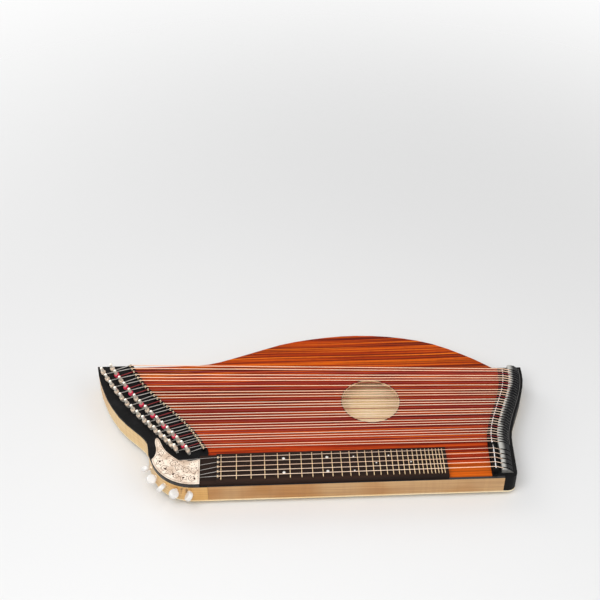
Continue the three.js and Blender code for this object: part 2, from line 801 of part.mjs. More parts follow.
// An open string from its tuning pin past its guide pin to the bridge wire and the rail.
function openString(i) {
  const radius = openRadius(i);
  const bend = openBend(i);
  const pin = tuningPinPlace(i);
  const back = pin.clone().sub(bend).normalize();
  const sideways = new THREE.Vector2(-back.y, back.x);
  const start = pin.addScaledVector(sideways, pinRadius + windingThickness + radius + seatGap);
  const path = [
    new THREE.Vector3(start.x, start.y, windingLevel),
    new THREE.Vector3(bend.x, bend.y, pinBridgeTop + seatGap + radius),
    ...stringTail(openTailY(i), radius, openWireLevel),
  ];
  return stringThrough(path, radius);
}

function openStrings() {
  const ys = [
    openTailTrebleY - tailBridgeEndMargin / 2,
    ...samples(openTailTrebleY, openTailBassY, 8),
    openTailBassY + tailBridgeEndMargin / 2,
  ];
  const wire = bridgeWire(ys, openWireLevel);
  return joined([wire, ...openIndices.map(openString)]);
}

// A melody string from its post under the plate over the nut to the bridge wire and the rail.
function melodyString(j) {
  const radius = melodyStringRadius;
  const post = gearPlace(j);
  const postSide = postRadius + postWindingThickness + radius + seatGap;
  const path = [
    new THREE.Vector3(post.x, post.y + postSide, postWindingLevel(j)),
    new THREE.Vector3(nutX, melodyY(j), nutStringLevel),
    new THREE.Vector3(0, melodyY(j), nutStringLevel),
    ...stringTail(melodyY(j), radius, melodyWireLevel),
  ];
  return stringThrough(path, radius);
}

function melodyStrings() {
  const inset = tailBridgeEndMargin / 2;
  const [front, back] = [melodySpan / 2 + inset, melodySpan / 2 + melodyBridgeReach - inset];
  const wire = bridgeWire([-front, -melodySpan / 2, melodySpan / 2, back], melodyWireLevel);
  return joined([wire, ...melodyIndices.map(melodyString)]);
}

// The string rail: a rounded metal strip along the tail, with a slot for every string.
function stringRail() {
  const front = [-(melodySpan / 2 + railFrontMargin), -melodySpan / 2, melodySpan / 2];
  const ys = [...front, ...samples(openTailTrebleY, openTailBassY, 8), openTailBassY + railBackMargin];
  const top = railShares.map(([across, up]) => [across * railWidth, up * railHeight]);
  const section = [[0, seatGap], ...top, [railWidth, seatGap]];
  const rail = loft(
    ys.map((y) => section.map(([u, z]) => new THREE.Vector3(tailLineX(y) + railSetback + u, y, z))),
  );
  const stringYs = [...openIndices.map(openTailY), ...melodyIndices.map(melodyY)];
  const beyond = 1 + overrun / railWidth;
  const cutter = [
    [-overrun, slotFloorAt(0)],
    [railShares[1][0] * railWidth, slotFloorAt(0)],
    [beyond * railWidth, slotFloorAt(beyond)],
    [beyond * railWidth, railHeight + overrun],
    [-overrun, railHeight + overrun],
  ];
  const slots = stringYs.map((y) => {
    const left = tailLineX(y) + railSetback;
    const outline = cutter.map(([u, z]) => new THREE.Vector2(left + u, z));
    return slab(outline, -railSlotWidth / 2, railSlotWidth / 2).rotate([90, 0, 0]).translate([0, y, 0]);
  });
  return cutBy(rail, slots);
}

// The points of the plate's free edge, from its left foot over the horn to its right corner.
function plateEdge() {
  const length = plateRightX - onCircle(headCentre, headRadius - plateInset, headStartAngle).x;
  return plateEdgeShares.map(([along, up]) => [
    plateRightX - along * length,
    frontY + plateInset + up * headRadius,
  ]);
}

// The engraved plate's outline: along the head's arc, then along its free edge.
function plateOutline() {
  return [
    ...arc(headCentre, headRadius - plateInset, headStartAngle, (3 * Math.PI) / 2, 14),
    new THREE.Vector2(plateRightX, frontY + plateInset),
    new THREE.Vector2(plateRightX, melodySpan / 2 - seatGap - melodyStringRadius),
    ...spline(plateEdge(), 36).reverse(),
  ];
}

// The engraved head plate, with a pad under its horn and a bearing for each string post.
// Its edge keeps clear of the tuning pins beside it.
function headPlate() {
  const plate = slab(plateOutline(), plateRise, plateRise + plateThickness);
  const [hornX, hornY] = plateEdge().reduce((highest, point) => (point[1] > highest[1] ? point : highest));
  const pad = uprightBar(hornPadRadius, [coverTop + seatGap, plateRise + weld], smallFacets);
  const bearingRadius = holeRadius(postJournalRadius, runningGap, tinyFacets);
  const bearings = melodyIndices.map((j) => {
    const { x, y } = gearPlace(j);
    const levels = [plateRise - overrun, plateRise + plateThickness + overrun];
    return uprightBar(bearingRadius, levels, tinyFacets).translate([x, y, 0]);
  });
  const clearings = pinBores(pinRadius + windingThickness, [-windingHeight, windingHeight]);
  return cutBy(plate.add(pad.translate([hornX, hornY - hornPadInset, 0])), [...bearings, ...clearings]);
}

// Each machine is made in its own frame: X out along the worm from the head's centre, Z up.
const machineAngle = (j) => firstButtonAngle + j * buttonAngleStep;

function machineMatrix(j) {
  return new THREE.Matrix4()
    .makeRotationZ(machineAngle(j))
    .setPosition(headCentre.x, headCentre.y, wormLevel);
}

// The worm wheel's middle in plan, beside the worm.
function gearPlace(j) {
  const middle = new THREE.Vector3(wormMiddle, gearOffset, 0).applyMatrix4(machineMatrix(j));
  return new THREE.Vector2(middle.x, middle.y);
}

// Where a melody string reaches its post: on the straight line from the nut under the plate's right edge.
// The first string runs beside the plate's free edge and only passes under it near its post.
function postWindingLevel(j) {
  const atPlate = plateRise - 2 * seatGap - melodyStringRadius;
  const { x } = gearPlace(j);
  if (j === 0) return atPlate - firstWindingDrop;
  const slope = (nutStringLevel - atPlate) / (nutX - plateRightX);
  return atPlate - slope * (plateRightX - x);
}

// Bearings for the worm shafts through a wall or lug, from the given distance outwards.
function shaftBores(from) {
  const radius = holeRadius(shaftRadius, runningGap, smallFacets);
  const bore = barAlongX(from - overrun, headRadius + overrun, radius, smallFacets);
  return melodyIndices.map((j) => placed(bore, machineMatrix(j)));
}

// The worm's thread as one ridge wound round the shaft, with a crest facing the wheel at the middle.
function wormThread() {
  const stepsPerTurn = smallFacets;
  const steps = wormTurns * stepsPerTurn;
  const inside = shaftRadius - weld;
  const crest = wormPitchRadius + threadAddendum;
  return loft(
    samples(-steps / 2, steps / 2, steps).map((step) => {
      const angle = (step / stepsPerTurn) * 2 * Math.PI;
      const x = wormMiddle + (step / stepsPerTurn) * wormLead;
      const across = new THREE.Vector3(0, Math.cos(angle), Math.sin(angle));
      const at = (dx, radius) => new THREE.Vector3(x + dx, 0, 0).addScaledVector(across, radius);
      return [
        at(-threadRootWidth / 2, inside),
        at(-threadTipWidth / 2, crest),
        at(threadTipWidth / 2, crest),
        at(threadRootWidth / 2, inside),
      ];
    }),
  );
}

// A button with its shaft, collar and worm, in the machine's frame.
function tunerButton(j) {
  const turn = THREE.MathUtils.radToDeg(firstButtonTurn + j * buttonTurnStep);
  const end = lugMiddle - lugThickness / 2;
  const buttonX = headRadius + buttonReach;
  const half = buttonThickness / 2;
  const disc = turned(
    [
      [buttonRadius - buttonEdge, -half],
      [buttonRadius, buttonEdge - half],
      [buttonRadius, half - buttonEdge],
      [buttonRadius - buttonEdge, half],
    ],
    roundFacets,
  );
  const shaft = barAlongX(end, buttonX - buttonRadius + overrun, shaftRadius, smallFacets);
  const collarStart = headRadius + seatGap;
  const collar = barAlongX(collarStart, collarStart + collarLength, collarRadius, smallFacets);
  return joined([disc.rotate([turn, 0, 0]).translate([buttonX, 0, 0]), shaft, collar, wormThread()]);
}

// The worm wheel's outline, with a gap between two teeth facing the worm.
function gearOutline() {
  const tip = gearPitchRadius + threadAddendum;
  const root = gearPitchRadius - threadDedendum;
  const points = [];
  for (let k = 0; k < gearTeeth; k++) {
    const middle = -Math.PI / 2 + ((k + 0.5) * 2 * Math.PI) / gearTeeth;
    const corners = [
      [-toothRootWidth / 2, root],
      [-toothTipWidth / 2, tip],
      [toothTipWidth / 2, tip],
      [toothRootWidth / 2, root],
    ];
    for (const [across, radius] of corners) {
      const angle = middle + across / radius;
      points.push(new THREE.Vector2(radius * Math.cos(angle), radius * Math.sin(angle)));
    }
  }
  return points;
}

// A worm wheel with its string post, in the machine's frame but centred on its own axis.
function wormWheel(j) {
  const shape = new THREE.Shape(gearOutline());
  const disc = new THREE.ExtrudeGeometry(shape, { depth: gearFace, bevelEnabled: false, steps: 1 });
  disc.translate(0, 0, -gearFace / 2);
  const places = disc.attributes.position;
  const twistPerHeight = wormLead / (2 * Math.PI * wormPitchRadius * gearPitchRadius);
  const point = new THREE.Vector3();
  for (let k = 0; k < places.count; k++) {
    point.fromBufferAttribute(places, k);
    point.applyAxisAngle(upward, point.z * twistPerHeight);
    places.setXYZ(k, point.x, point.y, point.z);
  }
  const winding = postWindingLevel(j) - wormLevel;
  const half = postWindingLength / 2;
  const postTop = rimTop - wormLevel;
  const post = turned(
    [
      [postJournalRadius, pocketFloor + seatGap - wormLevel],
      [postJournalRadius, frameTop - wormLevel + seatGap],
      [postRadius, frameTop - wormLevel + seatGap],
      [postRadius, winding - half],
      [postRadius + postWindingThickness, winding],
      [postRadius, winding + half],
      [postRadius, postTop],
      [postJournalRadius, postTop],
      [postJournalRadius, plateRise + plateThickness - wormLevel],
    ],
    tinyFacets,
  );
  return solidOf(disc).add(post);
}

// The machine's frame: a plate on the pocket's floor with a bearing lug for each worm's inner end.
function gearFrame() {
  const inner = lugMiddle - frameMargin;
  const outer = headRadius - headWall - seatGap;
  const side = wormPitchRadius / lugMiddle;
  const from = firstButtonAngle - side;
  const to = machineAngle(melodyCount - 1) + (gearOffset + postRadius) / lugMiddle;
  const outline = [...arc(headCentre, outer, from, to, 10), ...arc(headCentre, inner, to, from, 8)];
  const base = slab(outline, pocketFloor + seatGap, frameTop);
  const lug = block(
    lugMiddle - lugThickness / 2,
    lugMiddle + lugThickness / 2,
    -lugWidth / 2,
    lugWidth / 2,
    frameTop - weld - wormLevel,
    lugRise,
  );
  const lugs = melodyIndices.map((j) => placed(lug, machineMatrix(j)));
  const pivotRadius = holeRadius(postJournalRadius, runningGap, tinyFacets);
  const pivots = melodyIndices.map((j) => {
    const { x, y } = gearPlace(j);
    return uprightBar(pivotRadius, [pocketFloor, frameTop + overrun], tinyFacets).translate([x, y, 0]);
  });
  return cutBy(joined([base, ...lugs]), [...pivots, ...shaftBores(inner)]);
}

// Where the feet stand: one under the head, one before the tail and one under the bulge.
function footPlaces() {
  return {
    foot_front_left: [headCentre.x - footInset, frontY + footInset],
    foot_front_right: [scaleLength - footTailInset, frontY + footInset],
    foot_rear: [THREE.MathUtils.lerp(bulgeStartX, bulgeEndX(), rearFootShare), backEdgeY + rearFootReach],
  };
}

function foot() {
  const top = bodyBottom - seatGap;
  return turned(
    [
      [footTipRadius - footChamfer, top - footHeight],
      [footTipRadius, top - footHeight + footChamfer],
      [footRadius, top],
    ],
    roundFacets,
  );
}

// Colours and surfaces
const redWood = () => new THREE.MeshStandardMaterial({ color: 0xc4582c, roughness: 0.45, metalness: 0 });
const paleWood = () => new THREE.MeshStandardMaterial({ color: 0xd9b184, roughness: 0.5, metalness: 0 });
const blackWood = () => new THREE.MeshStandardMaterial({ color: 0x1d1a1a, roughness: 0.4, metalness: 0 });
const fretWood = () => new THREE.MeshStandardMaterial({ color: 0x2a2120, roughness: 0.55, metalness: 0 });
const nickel = () => new THREE.MeshStandardMaterial({ color: 0xd6d0c6, roughness: 0.3, metalness: 1 });
const silver = () => new THREE.MeshStandardMaterial({ color: 0xe2d8c6, roughness: 0.35, metalness: 1 });
const steel = () => new THREE.MeshStandardMaterial({ color: 0xb9b9bb, roughness: 0.35, metalness: 1 });
const brass = () => new THREE.MeshStandardMaterial({ color: 0xb99a55, roughness: 0.4, metalness: 1 });
const pearl = () => new THREE.MeshStandardMaterial({ color: 0xf1eee8, roughness: 0.25, metalness: 0 });
const rubber = () => new THREE.MeshStandardMaterial({ color: 0x202022, roughness: 0.85, metalness: 0 });

const zither = new THREE.Group();

function addPiece(name, solid, material, matrix) {
  const mesh = new THREE.Mesh(geometryOf(solid), material);
  mesh.name = name;
  if (matrix) mesh.applyMatrix4(matrix);
  zither.add(mesh);
}

addPiece("soundboard", soundboard(), redWood());
addPiece("back_board", backBoard(), paleWood());
addPiece("front_rib", frontRib(), paleWood());
addPiece("bass_rib", bassRib(), paleWood());
addPiece("pin_block", pinBlock(), paleWood());
addPiece("pin_block_cover", pinBlockCover(), blackWood());
addPiece("tail_block", tailBlock(), blackWood());
addPiece("fretboard", fretboard(), fretWood());
addPiece("nut", nut(), pearl());
addPiece("pin_bridge", pinBridge(), nickel());
addPiece("tail_bridge", tailBridge(), blackWood());
addPiece("open_strings", openStrings(), steel());
addPiece("melody_strings", melodyStrings(), steel());
addPiece("string_rail", stringRail(), steel());
addPiece("head_plate", headPlate(), silver());
addPiece("gear_frame", gearFrame(), brass());
for (const [name, [x, y]] of Object.entries(footPlaces())) {
  addPiece(name, foot(), rubber(), new THREE.Matrix4().makeTranslation(x, y, 0));
}
for (let i = 0; i < openCount; i++) {
  addPiece(`tuning_pin_${i + 1}`, tuningPin(), nickel(), tuningPinMatrix(i));
}
for (let j = 0; j < melodyCount; j++) {
  const { x, y } = gearPlace(j);
  const wheelMatrix = machineMatrix(j).setPosition(x, y, wormLevel);
  addPiece(`tuner_button_${j + 1}`, tunerButton(j), pearl(), machineMatrix(j));
  addPiece(`worm_wheel_${j + 1}`, wormWheel(j), brass(), wheelMatrix);
}

// The origin goes under the middle of the whole part, on the surface that it stands on.
const bounds = new THREE.Box3().setFromObject(zither, true);
const middle = bounds.getCenter(new THREE.Vector3());
zither.position.set(-middle.x, -middle.y, -bounds.min.z);

const part = new THREE.Group();
part.add(zither);

export default part;
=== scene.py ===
"""A concert zither on a pale floor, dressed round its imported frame."""

import json
import math
import random

import bmesh
import bpy
import numpy as np
from mathutils import Matrix, Vector


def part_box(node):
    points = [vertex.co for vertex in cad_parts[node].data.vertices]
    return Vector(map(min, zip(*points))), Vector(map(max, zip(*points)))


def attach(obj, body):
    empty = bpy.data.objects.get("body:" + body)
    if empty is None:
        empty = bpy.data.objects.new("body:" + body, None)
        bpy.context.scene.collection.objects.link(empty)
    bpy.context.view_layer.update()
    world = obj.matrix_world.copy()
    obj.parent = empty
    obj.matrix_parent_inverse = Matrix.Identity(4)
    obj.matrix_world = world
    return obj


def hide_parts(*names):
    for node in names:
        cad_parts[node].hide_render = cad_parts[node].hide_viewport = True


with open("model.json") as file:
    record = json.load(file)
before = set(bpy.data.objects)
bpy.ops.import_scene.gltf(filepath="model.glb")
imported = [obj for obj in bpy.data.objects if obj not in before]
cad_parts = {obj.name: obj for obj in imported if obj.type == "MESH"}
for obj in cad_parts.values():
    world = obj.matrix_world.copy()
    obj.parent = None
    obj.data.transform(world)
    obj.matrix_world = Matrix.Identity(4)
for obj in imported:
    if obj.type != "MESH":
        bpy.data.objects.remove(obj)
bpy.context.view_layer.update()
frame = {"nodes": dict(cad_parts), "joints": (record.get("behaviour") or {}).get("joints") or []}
nodes = frame["nodes"]
joints = {joint["child"]: joint for joint in frame["joints"]}
MM = 0.001

# Sizes in millimetres in the zither's own frame: X from the zero fret to the tail, Y from the middle
# melody string away from the player, Z up from the soundboard's top.
SCALE_LENGTH = 425
FRET_COUNT = 29
MELODY_COUNT = 5
MELODY_PITCH = 9.5
MELODY_SPAN = (MELODY_COUNT - 1) * MELODY_PITCH
MELODY_RADIUS = 0.35
MELODY_GROWTH = 0.12
OPEN_COUNT = 31
OPEN_TAIL_BASS_Y = 195
OPEN_TAIL_PITCH = 5.33
BASS_RADIUS = 0.75
TREBLE_RADIUS = 0.45
BRIDGE_OFFSET = 1.7
TAIL_SWEEP = 42.8
TAIL_LEAN = 2.5
OPEN_TAIL_DROP = 1.4
NUT_X = -5
HEAD_RADIUS = 70
BUTTON_REACH = 9.5
SOUND_HOLE_X = 243.9
SOUND_HOLE_Y = 140.1
SOUND_HOLE_RADIUS = 47.1
FRETBOARD_TOP = 7.5
NUT_BASE_RISE = 0.6
EDGE_STRIP_DEPTH = 0.6
HEAD_STRIP_DEPTH = 1
PLATE_THICKNESS = 1.2
FLAT_TOLERANCE = 0.05
WELD_DISTANCE = 0.001

# Strings by number, counted from the bass side
RED_STRINGS = (3, 7, 9, 13, 17, 21, 25, 29)
COPPER_STRINGS = (1, 2, 4, 5, 6, 8, 10, 11, 12)
COPPER_MELODY_STRING = 3

# The zither's own frame in the row frame
nut_low, nut_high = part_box("nut")
ORIGIN = Vector((
    (nut_low.x + nut_high.x) / 2 - NUT_X * MM,
    (nut_low.y + nut_high.y) / 2,
    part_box("soundboard")[1].z,
))


def at(x, y, z):
    """A point of the zither's own frame, in metres in the row frame."""
    return ORIGIN + Vector((x, y, z)) * MM


def own(point):
    """A point of the row frame in the zither's own frame, in millimetres."""
    return (Vector(point) - ORIGIN) / MM


def top_of(node):
    """A node's highest level above the soundboard, in millimetres."""
    return own(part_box(node)[1]).z


TAIL_BRIDGE_TOP = top_of("tail_bridge")
PLATE_TOP = top_of("head_plate")
RAIL_TOP = top_of("string_rail")


def new_object(name, data):
    made = bpy.data.objects.new(name, data)
    bpy.context.scene.collection.objects.link(made)
    return made


def aim(thing, place, target):
    """Puts a camera or a lamp at a place and turns it to a target."""
    thing.location = place
    thing.rotation_mode = "QUATERNION"
    thing.rotation_quaternion = (target - place).to_track_quat("-Z", "Y")


# Camera: fitted to the photograph from the places of the frets, and clipped at distances in metres
CAMERA_PLACE = (72.3, -1245.2, 1438.2)
CAMERA_TARGET = (138.2, 396.3, 0)
CAMERA_LENS = 72.8
CAMERA_SENSOR = 36
CAMERA_CLIP = (0.05, 30)


def make_camera():
    data = bpy.data.cameras.new("camera")
    data.lens = CAMERA_LENS
    data.sensor_width = CAMERA_SENSOR
    data.clip_start, data.clip_end = CAMERA_CLIP
    camera = new_object("camera", data)
    aim(camera, at(*CAMERA_PLACE), at(*CAMERA_TARGET))
    bpy.context.scene.camera = camera


make_camera()


# Colours and shader helpers

def rgb(red, green, blue):
    """A colour given in display values from 0 to 255, as the linear colour that the shader takes."""
    def linear(value):
        share = value / 255
        return share / 12.92 if share <= 0.04045 else ((share + 0.055) / 1.055) ** 2.4
    return (linear(red), linear(green), linear(blue), 1)


def put(tree, socket, value):
    """Links a socket to another, or sets its value."""
    if isinstance(value, bpy.types.NodeSocket):
        tree.links.new(value, socket)
    else:
        socket.default_value = value


def add_node(tree, kind, inputs=None, **settings):
    """A new node with its settings, and its inputs linked or set by name or number."""
    made = tree.nodes.new(kind)
    for key, value in settings.items():
        setattr(made, key, value)
    for key, value in (inputs or {}).items():
        put(tree, made.inputs[key], value)
    return made


class Surface:
    """A material with one principled shader, and short calls that add nodes to it."""

    def __init__(self, name, roughness=0.5, metallic=0.0, specular=0.5):
        self.material = bpy.data.materials.new(name)
        self.material.use_nodes = True
        self.tree = self.material.node_tree
        self.shader = self.tree.nodes["Principled BSDF"]
        self.set("Roughness", roughness)
        self.set("Metallic", metallic)
        self.set("Specular IOR Level", specular)
        coordinates = self.node("ShaderNodeTexCoord")
        self.place = coordinates.outputs["Object"]
        self.along = coordinates.outputs["UV"]

    def set(self, key, value):
        """Links one of the shader's inputs to a socket, or sets its value."""
        put(self.tree, self.shader.inputs[key], value)

    def node(self, kind, inputs=None, **settings):
        return add_node(self.tree, kind, inputs, **settings)

    def scaled(self, scale, vector=None):
        """The place in metres, stretched by a scale for each axis."""
        made = self.node("ShaderNodeMapping", {"Vector": vector or self.place, "Scale": scale})
        return made.outputs["Vector"]

    def noise(self, scale, detail, roughness=0.5, distortion=0.0, vector=None):
        """Noise over the stretched place."""
        inputs = {"Scale": 1, "Detail": detail, "Roughness": roughness, "Distortion": distortion}
        inputs["Vector"] = self.scaled(scale, vector)
        return self.node("ShaderNodeTexNoise", inputs).outputs["Fac"]

    def ramp(self, value, stops):
        """A colour that follows a value through stops of place and colour."""
        made = self.node("ShaderNodeValToRGB", {"Fac": value})
        elements = made.color_ramp.elements
        while len(elements) < len(stops):
            elements.new(0.5)
        for element, (place, colour) in zip(elements, stops):
            element.position = place
            element.color = colour
        return made.outputs["Color"]

    def step(self, value, low, high):
        """A share that goes from 0 to 1 while a value goes from low to high."""
        inputs = {"Value": value, "From Min": low, "From Max": high}
        made = self.node("ShaderNodeMapRange", inputs, interpolation_type="SMOOTHSTEP")
        return made.outputs["Result"]

    def mix(self, share, first, second, blend="MIX"):
        inputs = {"Factor": share, "A": first, "B": second}
        made = self.node("ShaderNodeMix", inputs, data_type="RGBA", blend_type=blend)
        return made.outputs["Result"]

    def lay(self, under, over, value, low, high, share=None, blend="MIX"):
        """A colour laid over another while a value goes from low to high, at a share of full strength."""
        reach = self.step(value, low, high)
        if share is not None:
            reach = self.times(reach, share)
        return self.mix(reach, under, over, blend)

    def math(self, operation, first, second):
        return self.node("ShaderNodeMath", {0: first, 1: second}, operation=operation).outputs["Value"]

    def times(self, first, second):
        return self.math("MULTIPLY", first, second)

    def vector_math(self, operation, *vectors):
        return self.node("ShaderNodeVectorMath", dict(enumerate(vectors)), operation=operation)

    def axis(self, letter, vector=None):
        return self.node("ShaderNodeSeparateXYZ", {"Vector": vector or self.place}).outputs[letter]

    def facing(self, letter):
        """How far the surface faces along an axis."""
        return self.axis(letter, self.node("ShaderNodeNewGeometry").outputs["Normal"])

    def above(self, level):
        """1 above a level in millimetres over the soundboard, and 0 below it."""
        return self.math("GREATER_THAN", self.axis("Z"), at(0, 0, level).z)

    def across(self, places):
        """A share that goes from 0 to 1 from one place to another across the zither."""
        low, high = (at(0, y, 0).y for y in places)
        return self.step(self.axis("Y"), low, high)

    def colour(self, value):
        self.set("Base Color", value)

    def rough(self, value, low, high):
        """Roughness from a value between 0 and 1."""
        made = self.node("ShaderNodeMapRange", {"Value": value, "To Min": low, "To Max": high})
        self.set("Roughness", made.outputs["Result"])

    def bump(self, height, depth, strength):
        """Relief of a depth in metres from a height between 0 and 1."""
        made = self.node("ShaderNodeBump", {"Strength": strength, "Distance": depth, "Height": height})
        self.set("Normal", made.outputs["Normal"])

    def coat(self, weight, roughness):
        self.set("Coat Weight", weight)
        self.set("Coat Roughness", roughness)
        return self.material


# Places across the soundboard between which its colours change and its painted shade under the strings rises
# and falls, and reaches past the sound hole
BULGE_ORANGE = (196, 226)
FRONT_ORANGE = (6, -12)
STRING_SHADE_RISE = (62, 112)
STRING_SHADE_FALL = (196, 158)
DARK_RING_REACH = 1.7
CUT_EDGE_REACH = 0.25
BLACK = rgb(26, 24, 24)


def soundboard_wood():
    """Red-brown striped wood, more orange at the bulge and the front, with painted shade darkening the band
    under the strings, and bare and pale underneath.
    """
    s = Surface("soundboard_wood", roughness=0.4, specular=0.07)
    sway = s.noise((3, 9, 1), 1.0)
    bent = s.vector_math("MULTIPLY_ADD", sway, (0, 0.012, 0), s.place).outputs["Vector"]
    broad = s.noise((0.8, 84, 1), 3.0, 0.6, vector=bent)
    fine = s.noise((5, 420, 1), 3.0, 0.6, vector=bent)
    pores = s.noise((70, 2600, 1), 1.0, vector=bent)
    stripe = s.noise((1.4, 330, 1), 2.0, 0.55, vector=bent)
    red = s.ramp(broad, [
        (0.28, rgb(112, 26, 6)), (0.42, rgb(166, 46, 12)),
        (0.55, rgb(198, 66, 20)), (0.72, rgb(222, 94, 34)),
    ])
    orange = s.ramp(broad, [
        (0.32, rgb(108, 26, 2)), (0.43, rgb(172, 52, 2)),
        (0.54, rgb(204, 76, 4)), (0.66, rgb(238, 116, 16)),
    ])
    front = s.across(FRONT_ORANGE)
    lively = s.math("MAXIMUM", s.across(BULGE_ORANGE), front)
    dark = s.math("ADD", s.times(lively, 0.15), 0.8)
    bright = s.math("ADD", s.times(lively, 0.45), 0.5)
    wood = s.mix(lively, red, orange)
    wood = s.lay(wood, rgb(92, 22, 6), stripe, 0.52, 0.38, dark)
    wood = s.lay(wood, rgb(244, 130, 34), stripe, 0.55, 0.66, bright)
    wood = s.lay(wood, rgb(150, 70, 40), fine, 0.5, 0.3, blend="MULTIPLY")
    wood = s.lay(wood, rgb(70, 20, 10), pores, 0.42, 0.34, 0.45)
    # Painted shade: the band of board under the strings is darkened to stand in for the strings' shadows.
    middle = s.times(s.across(STRING_SHADE_RISE), s.across(STRING_SHADE_FALL))
    wood = s.mix(s.times(middle, 0.42), wood, rgb(150, 120, 116), "MULTIPLY")
    wood = hole_ring(s, s.mix(s.times(front, 0.4), wood, rgb(240, 120, 22)))
    s.colour(s.mix(s.math("LESS_THAN", s.facing("Z"), -0.5), wood, rgb(244, 220, 176)))
    s.rough(fine, 0.34, 0.5)
    s.bump(s.math("ADD", s.times(pores, 0.6), fine), 0.00012, 0.5)
    return s.coat(0.05, 0.25)


def hole_ring(s, wood):
    """A pale cut edge and a dark ring round the sound hole, laid over a wood colour."""
    centre = at(SOUND_HOLE_X, SOUND_HOLE_Y, 0)
    flat = s.vector_math("MULTIPLY", s.place, (1, 1, 0)).outputs["Vector"]
    distance = s.vector_math("DISTANCE", flat, (centre.x, centre.y, 0)).outputs["Value"]
    for reach, colour in ((DARK_RING_REACH, rgb(26, 12, 8)), (CUT_EDGE_REACH, rgb(240, 208, 166))):
        within = s.math("LESS_THAN", distance, (SOUND_HOLE_RADIUS + reach) * MM)
        wood = s.mix(within, wood, colour)
    return wood


def pale_wood(name, scale, tones, flame, shade=rgb(235, 208, 160), strip=None):
    """Pale maple with stretched grain and flame figure, and black above a strip's depth if one is given."""
    s = Surface(name, roughness=0.45, specular=0.4)
    grain = s.noise(scale, 4.0, 0.6, 0.3)
    cloud = s.noise((9, 9, 9), 2.0)
    figure = s.noise((150, 150, 6), 1.0, distortion=0.6)
    wood = s.ramp(grain, list(zip((0.3, 0.52, 0.75), tones)))
    wood = s.lay(wood, shade, cloud, 0.62, 0.35, blend="MULTIPLY")
    wood = s.lay(wood, rgb(150, 98, 52), figure, 0.45, 0.7, flame)
    if strip:
        depth, black = strip
        wood = s.mix(s.above(-depth), wood, black)
    s.colour(wood)
    s.rough(grain, 0.38, 0.52)
    s.bump(grain, 0.0001, 0.4)
    return s


def black_wood():
    """Black stained wood with faint grain, rubbed patches and dust."""
    s = Surface("black_wood", roughness=0.5, specular=0.06)
    grain = s.noise((12, 380, 12), 4.0, 0.65)
    cloud = s.noise((26, 26, 26), 4.0, 0.6)
    dust = s.noise((900, 900, 900), 1.0)
    wood = s.mix(grain, rgb(12, 12, 13), rgb(24, 23, 23))
    wood = s.lay(wood, rgb(40, 39, 41), cloud, 0.5, 0.72, 0.4)
    s.colour(s.lay(wood, rgb(104, 100, 96), dust, 0.68, 0.76, 0.2))
    s.rough(cloud, 0.4, 0.62)
    s.bump(grain, 0.0001, 0.4)
    return s.coat(0.02, 0.35)


def fretboard_wood():
    """Very dark brown wood with straight grain and lighter streaks."""
    s = Surface("fretboard_wood", roughness=0.5, specular=0.07)
    grain = s.noise((9, 520, 9), 4.0, 0.6)
    streak = s.noise((1.5, 70, 3), 2.0)
    wood = s.mix(grain, rgb(24, 17, 14), rgb(50, 36, 30))
    s.colour(s.lay(wood, rgb(72, 48, 36), streak, 0.5, 0.7, 0.4))
    s.rough(grain, 0.42, 0.6)
    s.bump(grain, 0.00012, 0.5)
    return s.material


METAL_CLOUD = (160, 160, 160)


def metal(name, bright, dull, roughness, brushed=(700, 700, 60), metallic=1.0):
    """Metal with fine brushing and dull smudges."""
    s = Surface(name, roughness=roughness, metallic=metallic)
    line = s.noise(brushed, 2.0)
    cloud = s.noise(METAL_CLOUD, 3.0)
    s.colour(s.lay(bright, dull, cloud, 0.45, 0.75, 0.4))
    s.rough(s.math("ADD", s.times(line, 0.4), s.times(cloud, 0.6)), roughness - 0.08, roughness + 0.12)
    s.bump(line, 0.00002, 0.35)
    return s.material


def wheel_brass():
    """Brass, dark where the post's end sits in the plate."""
    s = Surface("wheel_brass", roughness=0.36, metallic=1.0)
    cloud = s.noise(METAL_CLOUD, 3.0)
    brass = s.lay(rgb(222, 184, 104), rgb(176, 140, 76), cloud, 0.45, 0.75)
    s.colour(s.mix(s.above(PLATE_TOP - PLATE_THICKNESS), brass, rgb(58, 40, 38)))
    s.rough(cloud, 0.28, 0.46)
    s.bump(cloud, 0.00002, 0.3)
    return s.material


def rail_metal():
    """Grey cast metal, with painted shade darkening it down the slope to the right."""
    s = Surface("rail_metal", roughness=0.4, metallic=0.8)
    line = s.noise((80, 900, 900), 2.0)
    cloud = s.noise(METAL_CLOUD, 3.0)
    grey = s.lay(rgb(192, 190, 184), rgb(144, 143, 140), cloud, 0.45, 0.75, 0.5)
    # Painted shade: near black where the surface faces to the right, down the rail's slope.
    s.colour(s.lay(grey, rgb(28, 28, 30), s.facing("X"), 0.12, 0.46))
    s.rough(cloud, 0.34, 0.52)
    s.bump(line, 0.00003, 0.4)
    return s.material


def engraved_silver():
    """The head plate's silvered face, with a fine stippled ground."""
    s = Surface("engraved_silver", roughness=0.42, metallic=0.6)
    cloud = s.noise((70, 70, 70), 3.0)
    stipple = s.node("ShaderNodeTexVoronoi", {"Vector": s.scaled((900, 900, 900))}, feature="F1")
    dots = s.step(stipple.outputs["Distance"], 0.45, 0.2)
    silver = s.lay(rgb(246, 230, 212), rgb(212, 188, 166), cloud, 0.4, 0.7)
    s.colour(s.mix(s.times(dots, 0.12), silver, rgb(160, 128, 104)))
    s.rough(cloud, 0.4, 0.52)
    s.bump(dots, 0.00001, 0.2)
    return s.material


WINDING_RINGS = 700


